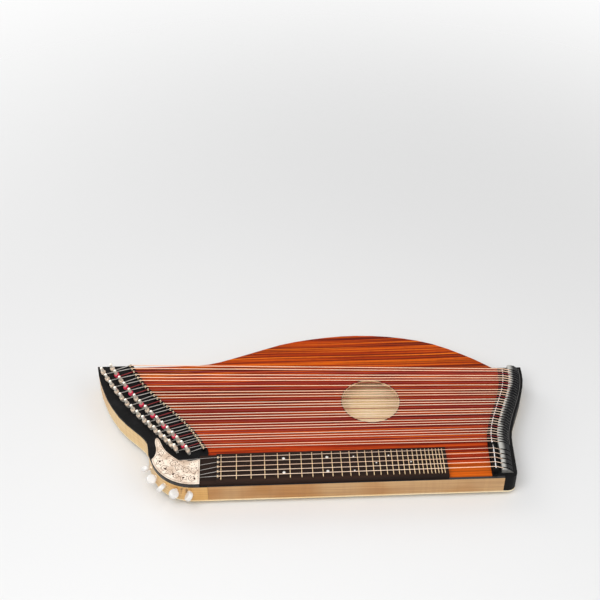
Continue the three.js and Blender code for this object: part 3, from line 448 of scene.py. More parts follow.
def wound(name, bright, dark, roughness, metallic, core=None):
    """A wound wire with rings along its length and, below length zero, the bare core's colour if given."""
    s = Surface(name, roughness=roughness, metallic=metallic)
    inputs = {"Vector": s.along, "Scale": WINDING_RINGS}
    wave = s.node("ShaderNodeTexWave", inputs, wave_type="BANDS", bands_direction="X")
    rings = wave.outputs["Fac"]
    patch = s.noise((14, 14, 14), 2.0)
    colour = s.mix(s.times(rings, 0.35), bright, dark)
    colour = s.lay(colour, dark, patch, 0.5, 0.75, 0.3)
    if core:
        colour = s.mix(s.math("LESS_THAN", s.axis("X", s.along), 0.0), colour, core)
    s.colour(colour)
    s.bump(rings, 0.00006, 0.5)
    return s.material


def pearl():
    """Pearly white with soft bands of cream and grey."""
    s = Surface("pearl", roughness=0.22, specular=0.6)
    cloud = s.noise((260, 260, 260), 3.0, distortion=1.4)
    bands = s.noise((90, 420, 200), 1.0, distortion=2.0)
    white = s.mix(cloud, rgb(228, 223, 216), rgb(243, 240, 235))
    s.colour(s.lay(white, rgb(214, 212, 218), bands, 0.5, 0.62, 0.3))
    s.rough(bands, 0.16, 0.3)
    s.bump(cloud, 0.00003, 0.3)
    return s.coat(0.6, 0.08)


def bone():
    """The nut's posts in polished bone with fine streaks, on a black base."""
    s = Surface("bone", roughness=0.35)
    streak = s.noise((900, 90, 900), 3.0)
    posts = s.mix(streak, rgb(226, 190, 140), rgb(250, 232, 200))
    s.colour(s.mix(s.above(FRETBOARD_TOP + NUT_BASE_RISE), BLACK, posts))
    s.rough(streak, 0.28, 0.42)
    s.bump(streak, 0.00002, 0.3)
    return s.coat(0.3, 0.2)


def rubber():
    """Matt black rubber with a fine moulded skin."""
    s = Surface("rubber", roughness=0.85, specular=0.3)
    skin = s.noise((1400, 1400, 1400), 2.0)
    s.colour(s.mix(skin, rgb(24, 24, 25), rgb(38, 38, 39)))
    s.rough(skin, 0.78, 0.92)
    s.bump(skin, 0.00008, 0.5)
    return s.material


def niello():
    """The brown filling of engraved lines."""
    s = Surface("niello", roughness=0.6, metallic=0.3)
    cloud = s.noise((500, 500, 500), 2.0)
    s.colour(s.mix(cloud, rgb(88, 60, 44), rgb(128, 96, 74)))
    s.rough(cloud, 0.5, 0.7)
    return s.material


SIDE_GRAIN = (6, 6, 420)
SIDE_TONES = (rgb(224, 180, 116), rgb(240, 204, 142), rgb(248, 218, 162))
BACK_TONES = (rgb(246, 216, 166), rgb(255, 236, 196), rgb(255, 246, 220))
FRONT_TONES = (rgb(176, 132, 84), rgb(200, 156, 104), rgb(216, 176, 124))
HEAD_STRIP = (HEAD_STRIP_DEPTH, BLACK)
EDGE_STRIP = (EDGE_STRIP_DEPTH, rgb(24, 22, 22))
STRING_CORE = rgb(176, 170, 164)

SOUNDBOARD = soundboard_wood()
SIDE_MAPLE = pale_wood("side_maple", SIDE_GRAIN, SIDE_TONES, 0.12).coat(0.3, 0.25)
HEAD_MAPLE = pale_wood("head_maple", SIDE_GRAIN, SIDE_TONES, 0.12, strip=HEAD_STRIP).coat(0.3, 0.25)
BACK_MAPLE = pale_wood("back_maple", (4, 260, 4), BACK_TONES, 0.08, rgb(255, 244, 222)).coat(0.2, 0.3)
FRONT_MAPLE = pale_wood("front_maple", (5, 5, 420), FRONT_TONES, 0.1, strip=EDGE_STRIP).coat(0.3, 0.25)
BLACK_WOOD = black_wood()
FRETBOARD_WOOD = fretboard_wood()
NICKEL = metal("nickel", rgb(255, 248, 234), rgb(216, 204, 184), 0.34, metallic=0.6)
RAIL_METAL = rail_metal()
WIRE_METAL = metal("wire_metal", rgb(226, 226, 226), rgb(180, 178, 172), 0.24)
BRASS = metal("brass", rgb(222, 184, 104), rgb(168, 132, 70), 0.34)
WHEEL_BRASS = wheel_brass()
GUIDE_METAL = metal("guide_metal", rgb(238, 216, 182), rgb(192, 166, 132), 0.36, metallic=0.6)
COIL_WIRE = wound("coil_wire", rgb(226, 206, 186), rgb(170, 150, 132), 0.3, 0.6)
FRET_METAL = metal("fret_metal", rgb(242, 212, 168), rgb(198, 166, 120), 0.34, (60, 60, 900))
SILVER = engraved_silver()
STEEL_STRING = wound("steel_string", rgb(255, 228, 202), rgb(248, 196, 168), 0.35, 0.35, STRING_CORE)
COPPER_STRING = wound("copper_string", rgb(255, 218, 188), rgb(246, 180, 146), 0.35, 0.35, STRING_CORE)
RED_STRING = wound("red_string", rgb(158, 38, 40), rgb(94, 16, 20), 0.5, 0.2)
RED_SILK = wound("red_silk", rgb(224, 48, 84), rgb(160, 20, 50), 0.6, 0.0)
TAIL_LINE_METAL = metal("tail_line_metal", rgb(120, 118, 116), rgb(70, 68, 68), 0.45)
PEARL = pearl()
BONE = bone()
RUBBER = rubber()
NIELLO = niello()


# Mesh helpers

def mesh_from(name, verts, faces, smooth=True, uvs=None):
    mesh = bpy.data.meshes.new(name)
    mesh.from_pydata([tuple(v) for v in verts], [], faces)
    if uvs is not None:
        layer = mesh.uv_layers.new(name="along")
        for loop in mesh.loops:
            layer.data[loop.index].uv = uvs[loop.vertex_index]
    for polygon in mesh.polygons:
        polygon.use_smooth = smooth
    mesh.update()
    return mesh


def neighbours(points, k):
    """The points before and after one of a line's points, or that point itself at an end."""
    return points[max(k - 1, 0)], points[min(k + 1, len(points) - 1)]


class Builder:
    """Collects rings and faces of several forms into one mesh."""

    def __init__(self):
        self.verts = []
        self.faces = []
        self.uvs = []

    def loft(self, rings, lengths=None):
        """A closed form through rings of equal counts, each a list of vectors."""
        count = len(rings[0])
        start = len(self.verts)
        for k, ring in enumerate(rings):
            self.verts.extend(ring)
            along = lengths[k] if lengths else 0.0
            self.uvs.extend([(along, j / count) for j in range(count)])
        for k in range(len(rings) - 1):
            low = start + k * count
            for j in range(count):
                after = (j + 1) % count
                self.faces.append((low + j, low + after, low + count + after, low + count + j))
        last = start + (len(rings) - 1) * count
        self.faces.append(tuple(start + j for j in reversed(range(count))))
        self.faces.append(tuple(last + j for j in range(count)))
        return self

    def tube(self, points, radius, sides=8, zero=0):
        """A round tube through points in metres, its length counted from the point numbered zero."""
        rings, lengths, travelled = [], [], 0.0
        side = None
        for k, point in enumerate(points):
            before, after = neighbours(points, k)
            along = (after - before).normalized()
            if side is None:
                side = along.orthogonal().normalized()
            side = (side - along * side.dot(along)).normalized()
            up = along.cross(side)
            travelled += (point - before).length
            turns = [math.tau * j / sides for j in range(sides)]
            rings.append([point + (side * math.cos(a) + up * math.sin(a)) * radius for a in turns])
            lengths.append(travelled)
        return self.loft(rings, [length - lengths[zero] for length in lengths])

    def piece(self, name, material, body, slot, smooth=True, sharp=None, stands_for=None):
        """Adds the mesh as a piece on a body, with edges sharp above an angle in degrees."""
        mesh = mesh_from(name, self.verts, self.faces, smooth, self.uvs)
        mesh.materials.append(material)
        piece = new_object(name, mesh)
        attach(piece, body)
        if stands_for:
            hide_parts(stands_for)
        if sharp:
            mesh.set_sharp_from_angle(angle=math.radians(sharp))


def superellipse(angle, power):
    """A point at an angle on a form that goes from a circle, at power 2, to a square as the power grows."""
    c, s = math.cos(angle), math.sin(angle)
    reach = 1 / (abs(c) ** power + abs(s) ** power) ** (1 / power)
    return reach * c, reach * s


def turned_rings(profile, sides):
    """Round rings from pairs of half width and level, or squarer ones from triples with a power."""
    rings = []
    for half, level, *squareness in profile:
        power = squareness[0] if squareness else 2
        corners = [superellipse(math.tau * j / sides, power) for j in range(sides)]
        rings.append([Vector((half * x, half * y, level)) for x, y in corners])
    return rings


def moved(rings, matrix):
    """Rings in millimetres as rings in metres, carried to their place by a matrix."""
    return [[matrix @ (point * MM) for point in ring] for ring in rings]


SHARP_ANGLE = 35
FLAT_ANGLE = 0.5
BEVEL_ANGLE = 30
BEVEL_SEGMENTS = 2


def dress(node, material, edge=0):
    """Gives a CAD node its finish, with softened edges of a width in millimetres."""
    piece = nodes[node]
    mesh = piece.data
    mesh.materials.clear()
    mesh.materials.append(material)
    if "custom_normal" in mesh.attributes:
        mesh.attributes.remove(mesh.attributes["custom_normal"])
    for polygon in mesh.polygons:
        polygon.use_smooth = True
    weld = piece.modifiers.new("weld", "WELD")
    weld.merge_threshold = WELD_DISTANCE * MM
    if edge:
        merge = piece.modifiers.new("flat_faces", "DECIMATE")
        merge.decimate_type = "DISSOLVE"
        merge.angle_limit = math.radians(FLAT_ANGLE)
        bevel = piece.modifiers.new("edge", "BEVEL")
        bevel.width = edge * MM
        bevel.segments = BEVEL_SEGMENTS
        bevel.limit_method = "ANGLE"
        bevel.angle_limit = math.radians(BEVEL_ANGLE)
    normals = piece.modifiers.new("normals", "WEIGHTED_NORMAL")
    normals.keep_sharp = True


# Dressed CAD nodes

def dress_nodes():
    dress("soundboard", SOUNDBOARD, 0.4)
    dress("back_board", BACK_MAPLE, 0.8)
    dress("front_rib", FRONT_MAPLE, 0.3)
    dress("bass_rib", SIDE_MAPLE)
    dress("pin_block", HEAD_MAPLE, 0.3)
    dress("pin_block_cover", BLACK_WOOD, 0.4)
    dress("tail_block", BLACK_WOOD, 0.5)
    dress("fretboard", FRETBOARD_WOOD, 0.2)
    dress("nut", BONE, 0.2)
    dress("pin_bridge", BLACK_WOOD)
    dress("tail_bridge", BLACK_WOOD, 0.5)
    dress("string_rail", RAIL_METAL, 0.25)
    dress("head_plate", SILVER, 0.25)
    dress("gear_frame", BRASS, 0.2)
    for node in nodes:
        if node.startswith("foot_"):
            dress(node, RUBBER, 0.5)
        if node.startswith("worm_wheel_"):
            dress(node, WHEEL_BRASS, 0.05)
        if node.startswith("tuner_button_"):
            dress(node, NICKEL)


dress_nodes()


# Strings

SEAT_GAP = 0.3
WIRE_RADIUS = 0.9
WIRE_SIDES = 12
WIRE_STEPS = 40
WIRE_OVERRUN = 2
MELODY_WIRE_OVERRUN = 8
MELODY_WIRE_LEVEL = TAIL_BRIDGE_TOP + SEAT_GAP + WIRE_RADIUS
OPEN_WIRE_LEVEL = MELODY_WIRE_LEVEL - OPEN_TAIL_DROP
RAIL_SETBACK = 9.8
RAIL_WIDTH = 18
RAIL_SHOULDER_SHARE = 0.2
RAIL_SLOT_DEPTH = 2.6
RAIL_SLOT_END = 1.2

# A string's drops just before and after the bridge wire's crest, and its rises round its slot's entry
WIRE_BEND_HALF = 0.8
WIRE_BEND_DROPS = (0.01, 0.06)
SLOT_BEND_HALF = 1
SLOT_BEND_RISES = (0.35, -0.2)
STRING_DIVE = 2


def open_radius(i):
    share = i / (OPEN_COUNT - 1)
    return BASS_RADIUS + (TREBLE_RADIUS - BASS_RADIUS) * share


def open_tail_y(i):
    return OPEN_TAIL_BASS_Y - i * OPEN_TAIL_PITCH


def melody_y(j):
    return (MELODY_COUNT - 1) / 2 * MELODY_PITCH - j * MELODY_PITCH


OPEN_TAIL_TREBLE_Y = open_tail_y(OPEN_COUNT - 1)


def smoothstep(value, low, high):
    share = min(max((value - low) / (high - low), 0), 1)
    return share * share * (3 - 2 * share)


def tail_x(y):
    """The bridge line: leaning a little under the melody strings, then swept to the right."""
    swept = smoothstep(y, OPEN_TAIL_TREBLE_Y, OPEN_TAIL_BASS_Y)
    leaning = min(max(0.5 - y / MELODY_SPAN, 0), 1)
    return SCALE_LENGTH + BRIDGE_OFFSET + TAIL_SWEEP * swept - TAIL_LEAN * leaning


def slot_floor(share):
    """The level of a rail slot's floor at a share of the rail's width."""
    down = max(share - RAIL_SHOULDER_SHARE, 0) / (1 - RAIL_SHOULDER_SHARE)
    return (RAIL_TOP - RAIL_SLOT_DEPTH) * (1 - down) + RAIL_SLOT_END * down


def tail_points(y, radius, wire_level):
    """A string's way from just before the bridge wire down through the floor of its slot."""
    left = tail_x(y)
    crest = wire_level + WIRE_RADIUS + radius
    entry = left + RAIL_SETBACK + RAIL_SHOULDER_SHARE * RAIL_WIDTH
    floor = slot_floor(RAIL_SHOULDER_SHARE)
    lift = radius + SEAT_GAP
    return [
        at(left - WIRE_BEND_HALF, y, crest - WIRE_BEND_DROPS[0]),
        at(left + WIRE_BEND_HALF, y, crest - WIRE_BEND_DROPS[1]),
        at(entry - SLOT_BEND_HALF, y, floor + lift + SLOT_BEND_RISES[0]),
        at(entry + SLOT_BEND_HALF, y, floor + lift + SLOT_BEND_RISES[1]),
        at(entry + STRING_DIVE, y, floor - STRING_DIVE / 2),
    ]


def bridge_wire(name, ys, level):
    """The wire that strings cross at the tail, through places across the zither."""
    form = Builder().tube([at(tail_x(y), y, level) for y in ys], WIRE_RADIUS * MM, WIRE_SIDES)
    form.piece(name, WIRE_METAL, "body", "strings")


PIN_RADIUS = 2.4
GUIDE_RADIUS = 1.0
GUIDE_GROUP_REACH = 2.2
GUIDE_PIN_HEIGHT = 3.4
GUIDE_CLEARANCE = 0.1
GUIDE_BEND_SHARES = (0.97, 0.003)
BRIDGE_TOP = top_of("pin_bridge") - GUIDE_PIN_HEIGHT


def guide_pin_places():
    """Each guide pin's middle in the zither's frame, from bass to treble, read from the pin bridge."""
    points = np.array([own(v.co) for v in nodes["pin_bridge"].data.vertices])
    tops = points[points[:, 2] > points[:, 2].max() - FLAT_TOLERANCE]
    groups = []
    for point in tops:
        for group in groups:
            if np.hypot(*(np.mean(group, axis=0)[:2] - point[:2])) < GUIDE_GROUP_REACH:
                group.append(point)
                break
        else:
            groups.append([point])
    places = []
    for group in groups:
        corners = np.unique(np.round(np.array(group)[:, :2], 3), axis=0)
        places.append(corners.mean(axis=0))
    return sorted(places, key=lambda place: -place[1])


GUIDE_PINS = guide_pin_places()


def pin_frame(i):
    """A tuning pin's place, its tilt as a matrix, and its axis."""
    joint = joints[f"tuning_pin_{i + 1}"]
    axis = Vector(joint["axis"])
    lean = math.atan2(-axis.x, axis.z)
    return Vector(joint["pos_m"]), Matrix.Rotation(-lean, 4, "Y"), axis


def open_string_path(i):
    """An open string's way, and the direction from its pin's axis in which it leaves the winding."""
    radius = open_radius(i)
    pin = own(pin_frame(i)[0])
    guide_x, guide_y = GUIDE_PINS[i]
    bend_y = guide_y + GUIDE_RADIUS + GUIDE_CLEARANCE + radius
    bend = Vector((guide_x, bend_y, BRIDGE_TOP + SEAT_GAP + radius))
    along = Vector((bend.x - pin.x, bend.y - pin.y, 0)).normalized()
    side = Vector((along.y, -along.x, 0))
    start = pin + side * (PIN_RADIUS + radius)
    tail = tail_points(open_tail_y(i), radius, OPEN_WIRE_LEVEL)
    before = start.lerp(bend, GUIDE_BEND_SHARES[0])
    beyond = bend.lerp(own(tail[0]), GUIDE_BEND_SHARES[1])
    return [at(*p) for p in (start, before, bend, beyond)] + tail, side


def make_open_strings():
    for i in range(OPEN_COUNT):
        number = i + 1
        radius = open_radius(i)
        points, side = open_string_path(i)
        finish = COPPER_STRING if number in COPPER_STRINGS else STEEL_STRING
        if number in RED_STRINGS:
            finish = RED_STRING
        form = Builder().tube(points, radius * MM, zero=2)
        form.piece(f"open_string_{number}", finish, "body", "strings", stands_for="open_strings")
        make_coil(i, radius, side)
    ys = np.linspace(OPEN_TAIL_TREBLE_Y - WIRE_OVERRUN, OPEN_TAIL_BASS_Y + WIRE_OVERRUN, WIRE_STEPS)
    bridge_wire("open_bridge_wire", ys, OPEN_WIRE_LEVEL)


SILK_SHARE = 1.4
COIL_SHARE = 1.15
COIL_HEIGHT = 4
COIL_MOST_TURNS = 4
COIL_PITCH_SHARE = 2.04
COIL_STEPS = 20
COIL_SIDES = 6
COIL_END_DIP = 0.4


def make_coil(i, radius, side):
    """The turns of an open string round its tuning pin, which turn with the pin."""
    centre, _, axis = pin_frame(i)
    start = (side - axis * side.dot(axis)).normalized()
    across = axis.cross(start)
    silk = i + 1 in RED_STRINGS
    thick = radius * (SILK_SHARE if silk else COIL_SHARE)
    turns = min(COIL_MOST_TURNS, COIL_HEIGHT / (2 * thick))
    pitch = COIL_PITCH_SHARE * thick
    steps = int(turns * COIL_STEPS)
    points = []
    for k in range(steps + 1):
        angle = math.tau * turns * k / steps
        offset = start * math.cos(angle) - across * math.sin(angle)
        rise = pitch * angle / math.tau
        points.append(centre + (offset * (PIN_RADIUS + thick) + axis * rise) * MM)
    points.append(points[-1].lerp(centre, COIL_END_DIP))
    form = Builder().tube(points, thick * MM, COIL_SIDES)
    finish = RED_SILK if silk else COIL_WIRE
    form.piece(f"string_coil_{i + 1}", finish, f"tuning_pin_{i + 1}", "strings")


PIN_TURN_STEP = math.radians(37)
PIN_SIDES = 24

# Half width, level and squareness up a tuning pin
PIN_PROFILE = (
    (1.9, -24, 2), (2.4, -22.5, 2), (2.4, 2.6, 2), (2.36, 3.2, 2.3), (2.3, 4.2, 5), (2.28, 4.8, 9),
    (1.94, 12.7, 9), (1.88, 13.0, 7), (1.55, 13.2, 5), (0.6, 13.24, 3),
)


def make_tuning_pins():
    for i in range(OPEN_COUNT):
        node = f"tuning_pin_{i + 1}"
        centre, tilt, _ = pin_frame(i)
        place = Matrix.Translation(centre) @ tilt @ Matrix.Rotation(i * PIN_TURN_STEP, 4, "Z")
        form = Builder().loft(moved(turned_rings(PIN_PROFILE, PIN_SIDES), place))
        form.piece(f"pin_{i + 1}", NICKEL, node, "tuning_pins", sharp=SHARP_ANGLE, stands_for=node)


GUIDE_SIDES = 12
GUIDE_PROFILE = (
    (1.35, -0.1), (1.35, 0.5), (1.06, 0.8), (1.06, 2.9), (1.2, 3.2), (1.1, 3.5), (0.7, 3.72), (0.2, 3.78),
)


def make_guide_pins():
    form = Builder()
    for x, y in GUIDE_PINS:
        base = Matrix.Translation(at(x, y, BRIDGE_TOP))
        form.loft(moved(turned_rings(GUIDE_PROFILE, GUIDE_SIDES), base))
    form.piece("guide_pins", GUIDE_METAL, "body", "pin_bridge", sharp=SHARP_ANGLE)


NUT_STRING_LEVEL = 9.3
NUT_CONTACT_HALF = 0.6
NUT_CONTACT_DROP = 0.05
PLATE_RIGHT_X = -33
PLATE_STRING_LEVEL = 4.75
FIRST_POST_LEVEL = 1.75
POST_SIDE = 3.35


def make_melody_strings():
    slope = (NUT_STRING_LEVEL - PLATE_STRING_LEVEL) / (NUT_X - PLATE_RIGHT_X)
    for j in range(MELODY_COUNT):
        post = own(joints[f"worm_wheel_{j + 1}"]["pos_m"])
        level = PLATE_STRING_LEVEL - slope * (PLATE_RIGHT_X - post.x) if j else FIRST_POST_LEVEL
        y = melody_y(j)
        radius = MELODY_RADIUS * (1 + MELODY_GROWTH * j)
        points = [
            at(post.x, post.y + POST_SIDE + radius, level),
            at(NUT_X - NUT_CONTACT_HALF, y, NUT_STRING_LEVEL - NUT_CONTACT_DROP),
            at(NUT_X + NUT_CONTACT_HALF, y, NUT_STRING_LEVEL),
            at(0, y, NUT_STRING_LEVEL),
            *tail_points(y, radius, MELODY_WIRE_LEVEL),
        ]
        form = Builder().tube(points, radius * MM, zero=1)
        finish = COPPER_STRING if j + 1 == COPPER_MELODY_STRING else STEEL_STRING
        form.piece(f"melody_string_{j + 1}", finish, "body", "strings", stands_for="melody_strings")
    last, first = melody_y(MELODY_COUNT - 1), melody_y(0)
    ys = (last - WIRE_OVERRUN, last, first, first + MELODY_WIRE_OVERRUN)
    bridge_wire("melody_bridge_wire", ys, MELODY_WIRE_LEVEL)


make_open_strings()
make_tuning_pins()
make_guide_pins()
make_melody_strings()


# Frets and dots

def fret_x(n):
    return SCALE_LENGTH * (1 - 2 ** (-n / 12))


FRET_HALF = 25.4
FRET_HALF_WIDTH = 0.66
FRET_HEIGHT = 1.05
ZERO_FRET_RISE = 0.25
FRET_SEAT = 0.05
FRET_END_LENGTH = 0.5
FRET_END_SHARE = 0.55
FRET_STEPS = 11
FRET_POWER = 4
FRET_SHARP_ANGLE = 50
DOT_SIDES = 24
DOT_RISE = 0.08
DOT_DEPTH = 0.3
DOT_EDGE_DROP = 0.04
DOT_EDGE_WIDTH = 0.1
DOT_SPREAD = 14.2
LARGE_DOT = 2.3
SMALL_DOT = 1.3

# The number of the fret after each dot, the dots' places across, and their radius
DOTS = (
    (5, (DOT_SPREAD, -DOT_SPREAD), LARGE_DOT), (9, (DOT_SPREAD, -DOT_SPREAD), LARGE_DOT),
    (12, (DOT_SPREAD, -DOT_SPREAD), SMALL_DOT), (15, (0,), SMALL_DOT),
    (17, (DOT_SPREAD,), SMALL_DOT), (21, (0,), SMALL_DOT),
)


def make_frets():
    """A rounded bar for each fret, lower at its two ends."""
    inner = FRET_HALF - FRET_END_LENGTH
    stations = ((-FRET_HALF, FRET_END_SHARE), (-inner, 1), (inner, 1), (FRET_HALF, FRET_END_SHARE))
    arch = [superellipse(math.pi * k / FRET_STEPS, FRET_POWER) for k in range(FRET_STEPS + 1)]
    form = Builder()
    for n in range(FRET_COUNT + 1):
        height = FRET_HEIGHT + (ZERO_FRET_RISE if n == 0 else 0)
        rings = []
        for y, share in stations:
            foot = at(fret_x(n), y, FRETBOARD_TOP - FRET_SEAT)
            rings.append([foot + Vector((FRET_HALF_WIDTH * x, 0, height * share * z)) * MM for x, z in arch])
        form.loft(rings)
    form.piece("fret_wires", FRET_METAL, "body", "fretboard", sharp=FRET_SHARP_ANGLE)


def make_dots():
    form = Builder()
    for n, ys, radius in DOTS:
        x = (fret_x(n - 1) + fret_x(n)) / 2
        edge = (radius, DOT_RISE - DOT_EDGE_DROP)
        profile = ((radius, -DOT_DEPTH), edge, (radius - DOT_EDGE_WIDTH, DOT_RISE))
        for y in ys:
            place = Matrix.Translation(at(x, y, FRETBOARD_TOP))
            form.loft(moved(turned_rings(profile, DOT_SIDES), place))
    form.piece("fret_dots", PEARL, "body", "nut", sharp=SHARP_ANGLE)


make_frets()
make_dots()


# Buttons of the melody string machines

BUTTON_RADIUS = 7.6
BUTTON_HALF = 3.7
BUTTON_SIDES = 48
BUTTON_SHARP_ANGLE = 40
FIRST_BUTTON_TURN = math.radians(55)
BUTTON_TURN_STEP = math.radians(-90)
FERRULE_SIDES = 24

# Radius and level along a collar, from the shaft's side to the button's
FERRULE_PROFILE = ((2.9, -9.2), (3.2, -9.0), (3.2, -8.3), (2.6, -8.0), (2.5, -7.5), (2.9, -7.2), (2.9, -6.4))


def make_buttons():
    """The five pearl buttons, each a rounded disc with flat ends, and the metal collars on their shafts."""
    r, h = BUTTON_RADIUS, BUTTON_HALF
    outer = [(r * 0.3, h - 0.04), (r * 0.72, h), (r - 0.9, h - 0.15), (r - 0.3, h - 0.6), (r, h - 1.5)]
    profile = [(radius, -level) for radius, level in outer] + outer[::-1]
    for j in range(MELODY_COUNT):
        node = f"tuner_button_{j + 1}"
        outward = Vector(joints[node]["axis"])
        centre = Vector(joints[node]["pos_m"]) + outward * (HEAD_RADIUS + BUTTON_REACH) * MM
        heading = math.atan2(outward.y, outward.x)
        lay = Matrix.Translation(centre) @ Matrix.Rotation(heading, 4, "Z")
        turned = lay @ Matrix.Rotation(FIRST_BUTTON_TURN + j * BUTTON_TURN_STEP, 4, "X")
        button = Builder().loft(moved(turned_rings(profile, BUTTON_SIDES), turned))
        button.piece(f"button_{j + 1}", PEARL, node, "buttons", sharp=BUTTON_SHARP_ANGLE)
        outwards = lay @ Matrix.Rotation(math.pi / 2, 4, "Y")
        ferrule = Builder().loft(moved(turned_rings(FERRULE_PROFILE, FERRULE_SIDES), outwards))
        ferrule.piece(f"ferrule_{j + 1}", NICKEL, node, "tuning_pins", sharp=SHARP_ANGLE)


make_buttons()


# Engraving on the head plate

def outline_of(node, level):
    """The outer outline of a node's flat top at a level, as points in the zither's frame."""
    made = bmesh.new()
    made.from_mesh(nodes[node].data)
    bmesh.ops.remove_doubles(made, verts=made.verts, dist=WELD_DISTANCE * MM)
    top = {f for f in made.faces if all(abs(own(v.co).z - level) < FLAT_TOLERANCE for v in f.verts)}
    border = [e for e in made.edges if sum(f in top for f in e.link_faces) == 1]
    after = {}
    for edge in border:
        for v in edge.verts:
            after.setdefault(v, []).append(edge.other_vert(v))
    loops, seen = [], set()
    for first in after:
        if first in seen:
            continue
        loop, here = [], first
        while here not in seen:
            seen.add(here)
            loop.append(own(here.co))
            ahead = [v for v in after[here] if v not in seen]
            if not ahead:
                break
            here = ahead[0]
        loops.append(loop)
    longest = max(loops, key=lambda loop: sum((a - b).length for a, b in zip(loop, loop[1:])))
    made.free()
    return [Vector((p.x, p.y)) for p in longest]


def sides_of(outline):
    """The pairs of points at the ends of an outline's sides."""
    return zip(outline, outline[1:] + outline[:1])


def inside(point, outline):
    """Whether a plan point lies inside an outline."""
    within = False
    for a, b in sides_of(outline):
        if (a.y > point.y) != (b.y > point.y):
            crossing = a.x + (point.y - a.y) * (b.x - a.x) / (b.y - a.y)
            if crossing > point.x:
                within = not within
    return within


def edge_distance(point, outline):
    """The distance from a plan point to an outline."""
    def distance_to(a, b):
        side = b - a
        share = min(max((point - a).dot(side) / max(side.length_squared, 1e-9), 0), 1)
        return (a + side * share - point).length
    return min(distance_to(a, b) for a, b in sides_of(outline))


RIBBON_SEAT = 0.05
ENGRAVING_RISE = 0.05


def ribbon(form, points, widths, level, rise):
    """A thin raised line through plan points, with a width at each, as one closed form."""
    low, high = level - RIBBON_SEAT, level + rise
    rings = []
    for k, point in enumerate(points):
        before, after = neighbours(points, k)
        along = (after - before).normalized()
        side = Vector((-along.y, along.x)) * widths[k] / 2
        a, b = point + side, point - side
        rings.append([at(a.x, a.y, low), at(b.x, b.y, low), at(b.x, b.y, high), at(a.x, a.y, high)])
    form.loft(rings)


def unit(angle):
    """The plan direction at an angle."""
    return Vector((math.cos(angle), math.sin(angle)))


ENGRAVING_SEED = 7
SCROLL_TURNS = 1.7
SCROLL_STEPS = 26
SCROLL_CLOSING = 0.86
SCROLL_SWAY = 0.5
SCROLL_WIDTHS = (1.5, 0.8)
LEAF_STEPS = 8
LEAF_COUNT = 6
LEAF_EVERY = 5
LEAF_LENGTHS = (0.4, 0.62)
LEAF_WIDTH = 0.17
LEAF_LEAN = 1.1
LEAF_BEND = 0.9
LEAF_STEM = 0.12
LEAF_TIP = 1.05
LEAF_TAPER = 0.35


def scroll(centre, radius, start, hand):
    """Plan points of a spiral that runs in from its start."""
    points = []
    steps = int(SCROLL_STEPS * SCROLL_TURNS)
    for k in range(steps + 1):
        share = k / steps
        angle = start + hand * math.tau * SCROLL_TURNS * share
        points.append(centre + unit(angle) * (radius * (1 - SCROLL_CLOSING * share)))
    return points


def leaf(base, heading, length, width):
    """Plan points along a curved leaf, with its width at each."""
    points, widths = [], []
    for k in range(LEAF_STEPS + 1):
        share = k / LEAF_STEPS
        points.append(base + unit(heading + LEAF_BEND * share) * length * share)
        swell = math.sin(math.pi * min(share * LEAF_TIP, 1)) * (1 - LEAF_TAPER * share)
        widths.append(LEAF_STEM + width * swell)
    return points, widths


HEAD_CENTRE = own(joints["tuner_button_1"]["pos_m"]).to_2d()
HEAD_ARC = (180, 290)
ROW_SHIFT = 6
ENGRAVED_WIDTH = 0.42
EDGE_LINE_INSET = 1.6
EDGE_LINES = ((EDGE_LINE_INSET, 0.35), (EDGE_LINE_INSET + 0.8, 0.2))
EDGE_LINE_OVERLAP = 0.6
LINE_MARGIN = 0.9
LEAST_ROOM_SHARE = 0.5
HORN_SCROLL_TURN = 0.6

# Each row of scrolls: its share of the head's radius, the scrolls' size and the degrees between them
SCROLL_ROWS = ((0.83, 6.2, 12.5), (0.6, 6.6, 17), (0.4, 6.0, 24))

# Scrolls up the plate's horn and along its right end: their places from the head's centre, and their sizes
HORN_SCROLLS = (
    ((-58.5, 17), 3.8), ((-55.5, 7), 4.6), ((-53, -4), 5.5), ((-5, -22), 5), ((4, -34), 5), ((3, -50), 5),
)


def scroll_places():
    """Each scroll's centre, size and turn: the rows along the head's arc, then the horn's."""
    places = []
    for row, (radius_share, size, step) in enumerate(SCROLL_ROWS):
        angle = HEAD_ARC[0] + ROW_SHIFT * row
        while angle < HEAD_ARC[1]:
            turn = math.radians(angle)
            places.append((HEAD_CENTRE + unit(turn) * (HEAD_RADIUS * radius_share), size, turn))
            angle += step
    return places + [(HEAD_CENTRE + Vector(offset), size, HORN_SCROLL_TURN) for offset, size in HORN_SCROLLS]


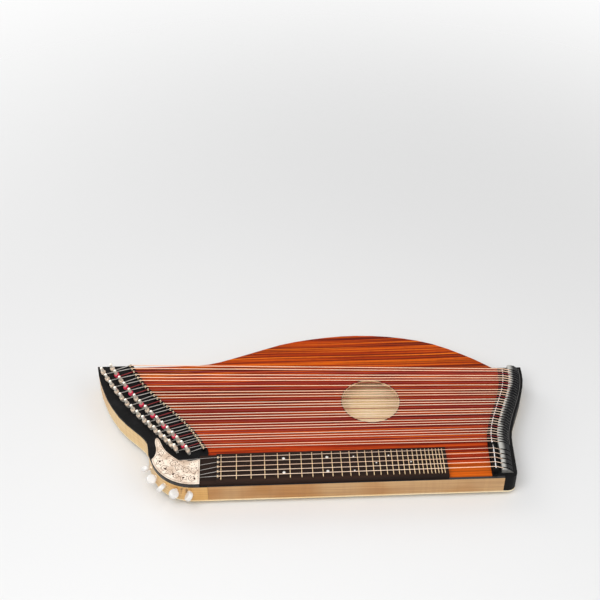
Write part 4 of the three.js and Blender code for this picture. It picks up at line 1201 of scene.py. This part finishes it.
def engrave_plate():
    """Scrolls with leaves over the plate, and two lines along its edge."""
    outline = outline_of("head_plate", PLATE_TOP)
    form = Builder()
    chance = random.Random(ENGRAVING_SEED)
    for k, (centre, size, turn) in enumerate(scroll_places()):
        room = edge_distance(centre, outline)
        if not inside(centre, outline) or room < size * LEAST_ROOM_SHARE:
            continue
        size = min(size, room - EDGE_LINE_INSET + EDGE_LINE_OVERLAP)
        hand = 1 if k % 2 else -1
        start = turn + chance.uniform(-SCROLL_SWAY, SCROLL_SWAY) + (math.pi if k % 2 else 0)
        spiral = scroll(centre, size, start, hand)
        wide, narrowing = SCROLL_WIDTHS
        widths = [ENGRAVED_WIDTH * (wide - narrowing * n / len(spiral)) for n in range(len(spiral))]
        draw_inside(form, spiral, widths, outline)
        for n in range(0, LEAF_COUNT * LEAF_EVERY, LEAF_EVERY):
            heading = start + hand * (n / SCROLL_STEPS * math.tau + LEAF_LEAN)
            length = size * chance.uniform(*LEAF_LENGTHS)
            points, widths = leaf(spiral[n], heading, length, size * LEAF_WIDTH)
            draw_inside(form, points, widths, outline)
    for inset, width in EDGE_LINES:
        border = inset_line(outline, inset)
        border.append(border[0])
        ribbon(form, border, [width] * len(border), PLATE_TOP, ENGRAVING_RISE)
    form.piece("plate_engraving", NIELLO, "body", "head_plate", smooth=False)


def draw_inside(form, points, widths, outline):
    """Draws the first stretch of a line that stays inside the plate's border."""
    kept = []
    for point in points:
        if not inside(point, outline) or edge_distance(point, outline) < EDGE_LINE_INSET + LINE_MARGIN:
            break
        kept.append(point)
    if len(kept) > 2:
        ribbon(form, kept, widths[:len(kept)], PLATE_TOP, ENGRAVING_RISE)


LEAST_CORNER_SPREAD = 0.4
FOLD_SHARE = 0.93


def inset_line(outline, distance):
    """The outline moved inwards by a distance, without the points that would fold back."""
    area = sum(a.x * b.y - b.x * a.y for a, b in sides_of(outline))
    hand = 1 if area > 0 else -1
    points = []
    for k, point in enumerate(outline):
        before = (point - outline[k - 1]).normalized()
        after = (outline[(k + 1) % len(outline)] - point).normalized()
        bisector = Vector((-(before.y + after.y), before.x + after.x)).normalized() * hand
        spread = max(bisector.dot(Vector((-before.y, before.x)) * hand), LEAST_CORNER_SPREAD)
        inner = point + bisector * distance / spread
        if edge_distance(inner, outline) > distance * FOLD_SHARE:
            points.append(inner)
    return points


engrave_plate()


# Black sheets of painted shade in the rail's slots, and the grey line beside the rail

# Shares of the rail's width and of its height along its rounded top
RAIL_CREST = ((0.01, 0.92), (0.2, 1.0), (0.65, 0.72), (0.96, 0.18))
SLOT_SHADE_HALF = 1.18
SLOT_SHADE_WALL_INNER = 1.06
SLOT_SHADE_LIFT = 0.02
SLOT_SHADE_THICKNESS = 0.1
SLOT_SHADE_TOP_GAP = 0.12
TAIL_LINE_REACH = 29.5
TAIL_LINE_OVERRUN = 10
TAIL_LINE_STEPS = 60
TAIL_LINE_WIDTH = 0.6
TAIL_LINE_RISE = 0.12


def make_slot_shade_sheets():
    """Black sheets on the floor and the walls of every slot, painted shade for the deep slots."""
    form = Builder()
    floor = (-SLOT_SHADE_HALF, SLOT_SHADE_HALF, False)
    left_wall, right_wall = (-SLOT_SHADE_HALF, -SLOT_SHADE_WALL_INNER, True), (SLOT_SHADE_WALL_INNER, SLOT_SHADE_HALF, True)
    ys = [open_tail_y(i) for i in range(OPEN_COUNT)] + [melody_y(j) for j in range(MELODY_COUNT)]
    for y in ys:
        left = tail_x(y) + RAIL_SETBACK
        for low_y, high_y, full in (floor, left_wall, right_wall):
            rings = []
            for share, crest in RAIL_CREST:
                x = left + share * RAIL_WIDTH
                low = slot_floor(share) + SLOT_SHADE_LIFT
                high = low + SLOT_SHADE_THICKNESS
                if full:
                    high = max(crest * RAIL_TOP - SLOT_SHADE_TOP_GAP, high)
                a, b = y + low_y, y + high_y
                rings.append([at(x, a, low), at(x, b, low), at(x, b, high), at(x, a, high)])
            form.loft(rings)
    # The black sheets stand in for the shade deep in the slots.
    form.piece("slot_shade_sheets", BLACK_WOOD, "body", "rail", smooth=False)


def make_tail_line():
    """A thin grey line let into the tail block beside the rail."""
    ys = np.linspace(OPEN_TAIL_TREBLE_Y, OPEN_TAIL_BASS_Y + TAIL_LINE_OVERRUN, TAIL_LINE_STEPS)
    points = [Vector((tail_x(y) + TAIL_LINE_REACH, y)) for y in ys]
    form = Builder()
    ribbon(form, points, [TAIL_LINE_WIDTH] * len(points), 0.0, TAIL_LINE_RISE)
    form.piece("tail_line", TAIL_LINE_METAL, "body", "rail", smooth=False)


make_slot_shade_sheets()
make_tail_line()


# Floor, backdrop and light, in metres

FLOOR_HALF = 2.0
FLOOR_DROP = 0.0005
FLOOR_FADE_START = 0.5
FLOOR_FADE_END = 1.9
WORLD_LIGHT = 0.5
WORLD_WHITE = 1.0

# Each lamp's place, size and power in watts; all of them point at the middle of the floor
LAMPS = {
    "key": ((-0.5, -0.95, 1.65), 1.1, 18),
    "fill": ((1.2, -0.7, 1.4), 1.4, 7),
    "back": ((-1.2, 1.2, 1.3), 1.2, 7),
}


def floor_surface():
    """Pale floor that keeps the shadow and fades out away from the instrument."""
    s = Surface("floor", roughness=0.9, specular=0.1)
    s.colour(rgb(236, 236, 236))
    distance = s.vector_math("LENGTH", s.place).outputs["Value"]
    s.set("Alpha", s.step(distance, FLOOR_FADE_END, FLOOR_FADE_START))
    return s.material


def make_floor():
    corners = [(x * FLOOR_HALF, y * FLOOR_HALF, 0) for x, y in ((-1, -1), (1, -1), (1, 1), (-1, 1))]
    mesh = mesh_from("floor", corners, [(0, 1, 2, 3)], False)
    mesh.materials.append(floor_surface())
    floor = new_object("floor", mesh)
    floor.location.z = -FLOOR_DROP


def make_world():
    """White for rays from the camera and for reflections, and plain soft light on the object."""
    world = bpy.data.worlds.new("studio")
    bpy.context.scene.world = world
    world.use_nodes = True
    tree = world.node_tree
    tree.nodes.clear()
    rays = add_node(tree, "ShaderNodeLightPath").outputs
    seen = rays["Is Camera Ray"]
    for ray in ("Is Glossy Ray", "Is Transmission Ray"):
        either = add_node(tree, "ShaderNodeMath", {0: seen, 1: rays[ray]}, operation="MAXIMUM")
        seen = either.outputs["Value"]
    shares = {"Fac": seen}
    for number, strength in ((1, WORLD_LIGHT), (2, WORLD_WHITE)):
        white = {"Color": (1, 1, 1, 1), "Strength": strength}
        shares[number] = add_node(tree, "ShaderNodeBackground", white).outputs["Background"]
    mixed = add_node(tree, "ShaderNodeMixShader", shares)
    add_node(tree, "ShaderNodeOutputWorld", {"Surface": mixed.outputs["Shader"]})


def make_lamps():
    for name, (place, size, power) in LAMPS.items():
        data = bpy.data.lights.new(name, "AREA")
        data.shape = "SQUARE"
        data.size = size
        data.energy = power
        aim(new_object(name, data), Vector(place), Vector((0, 0, 0)))


make_floor()
make_world()
make_lamps()

bpy.context.scene.view_settings.view_transform = "Standard"
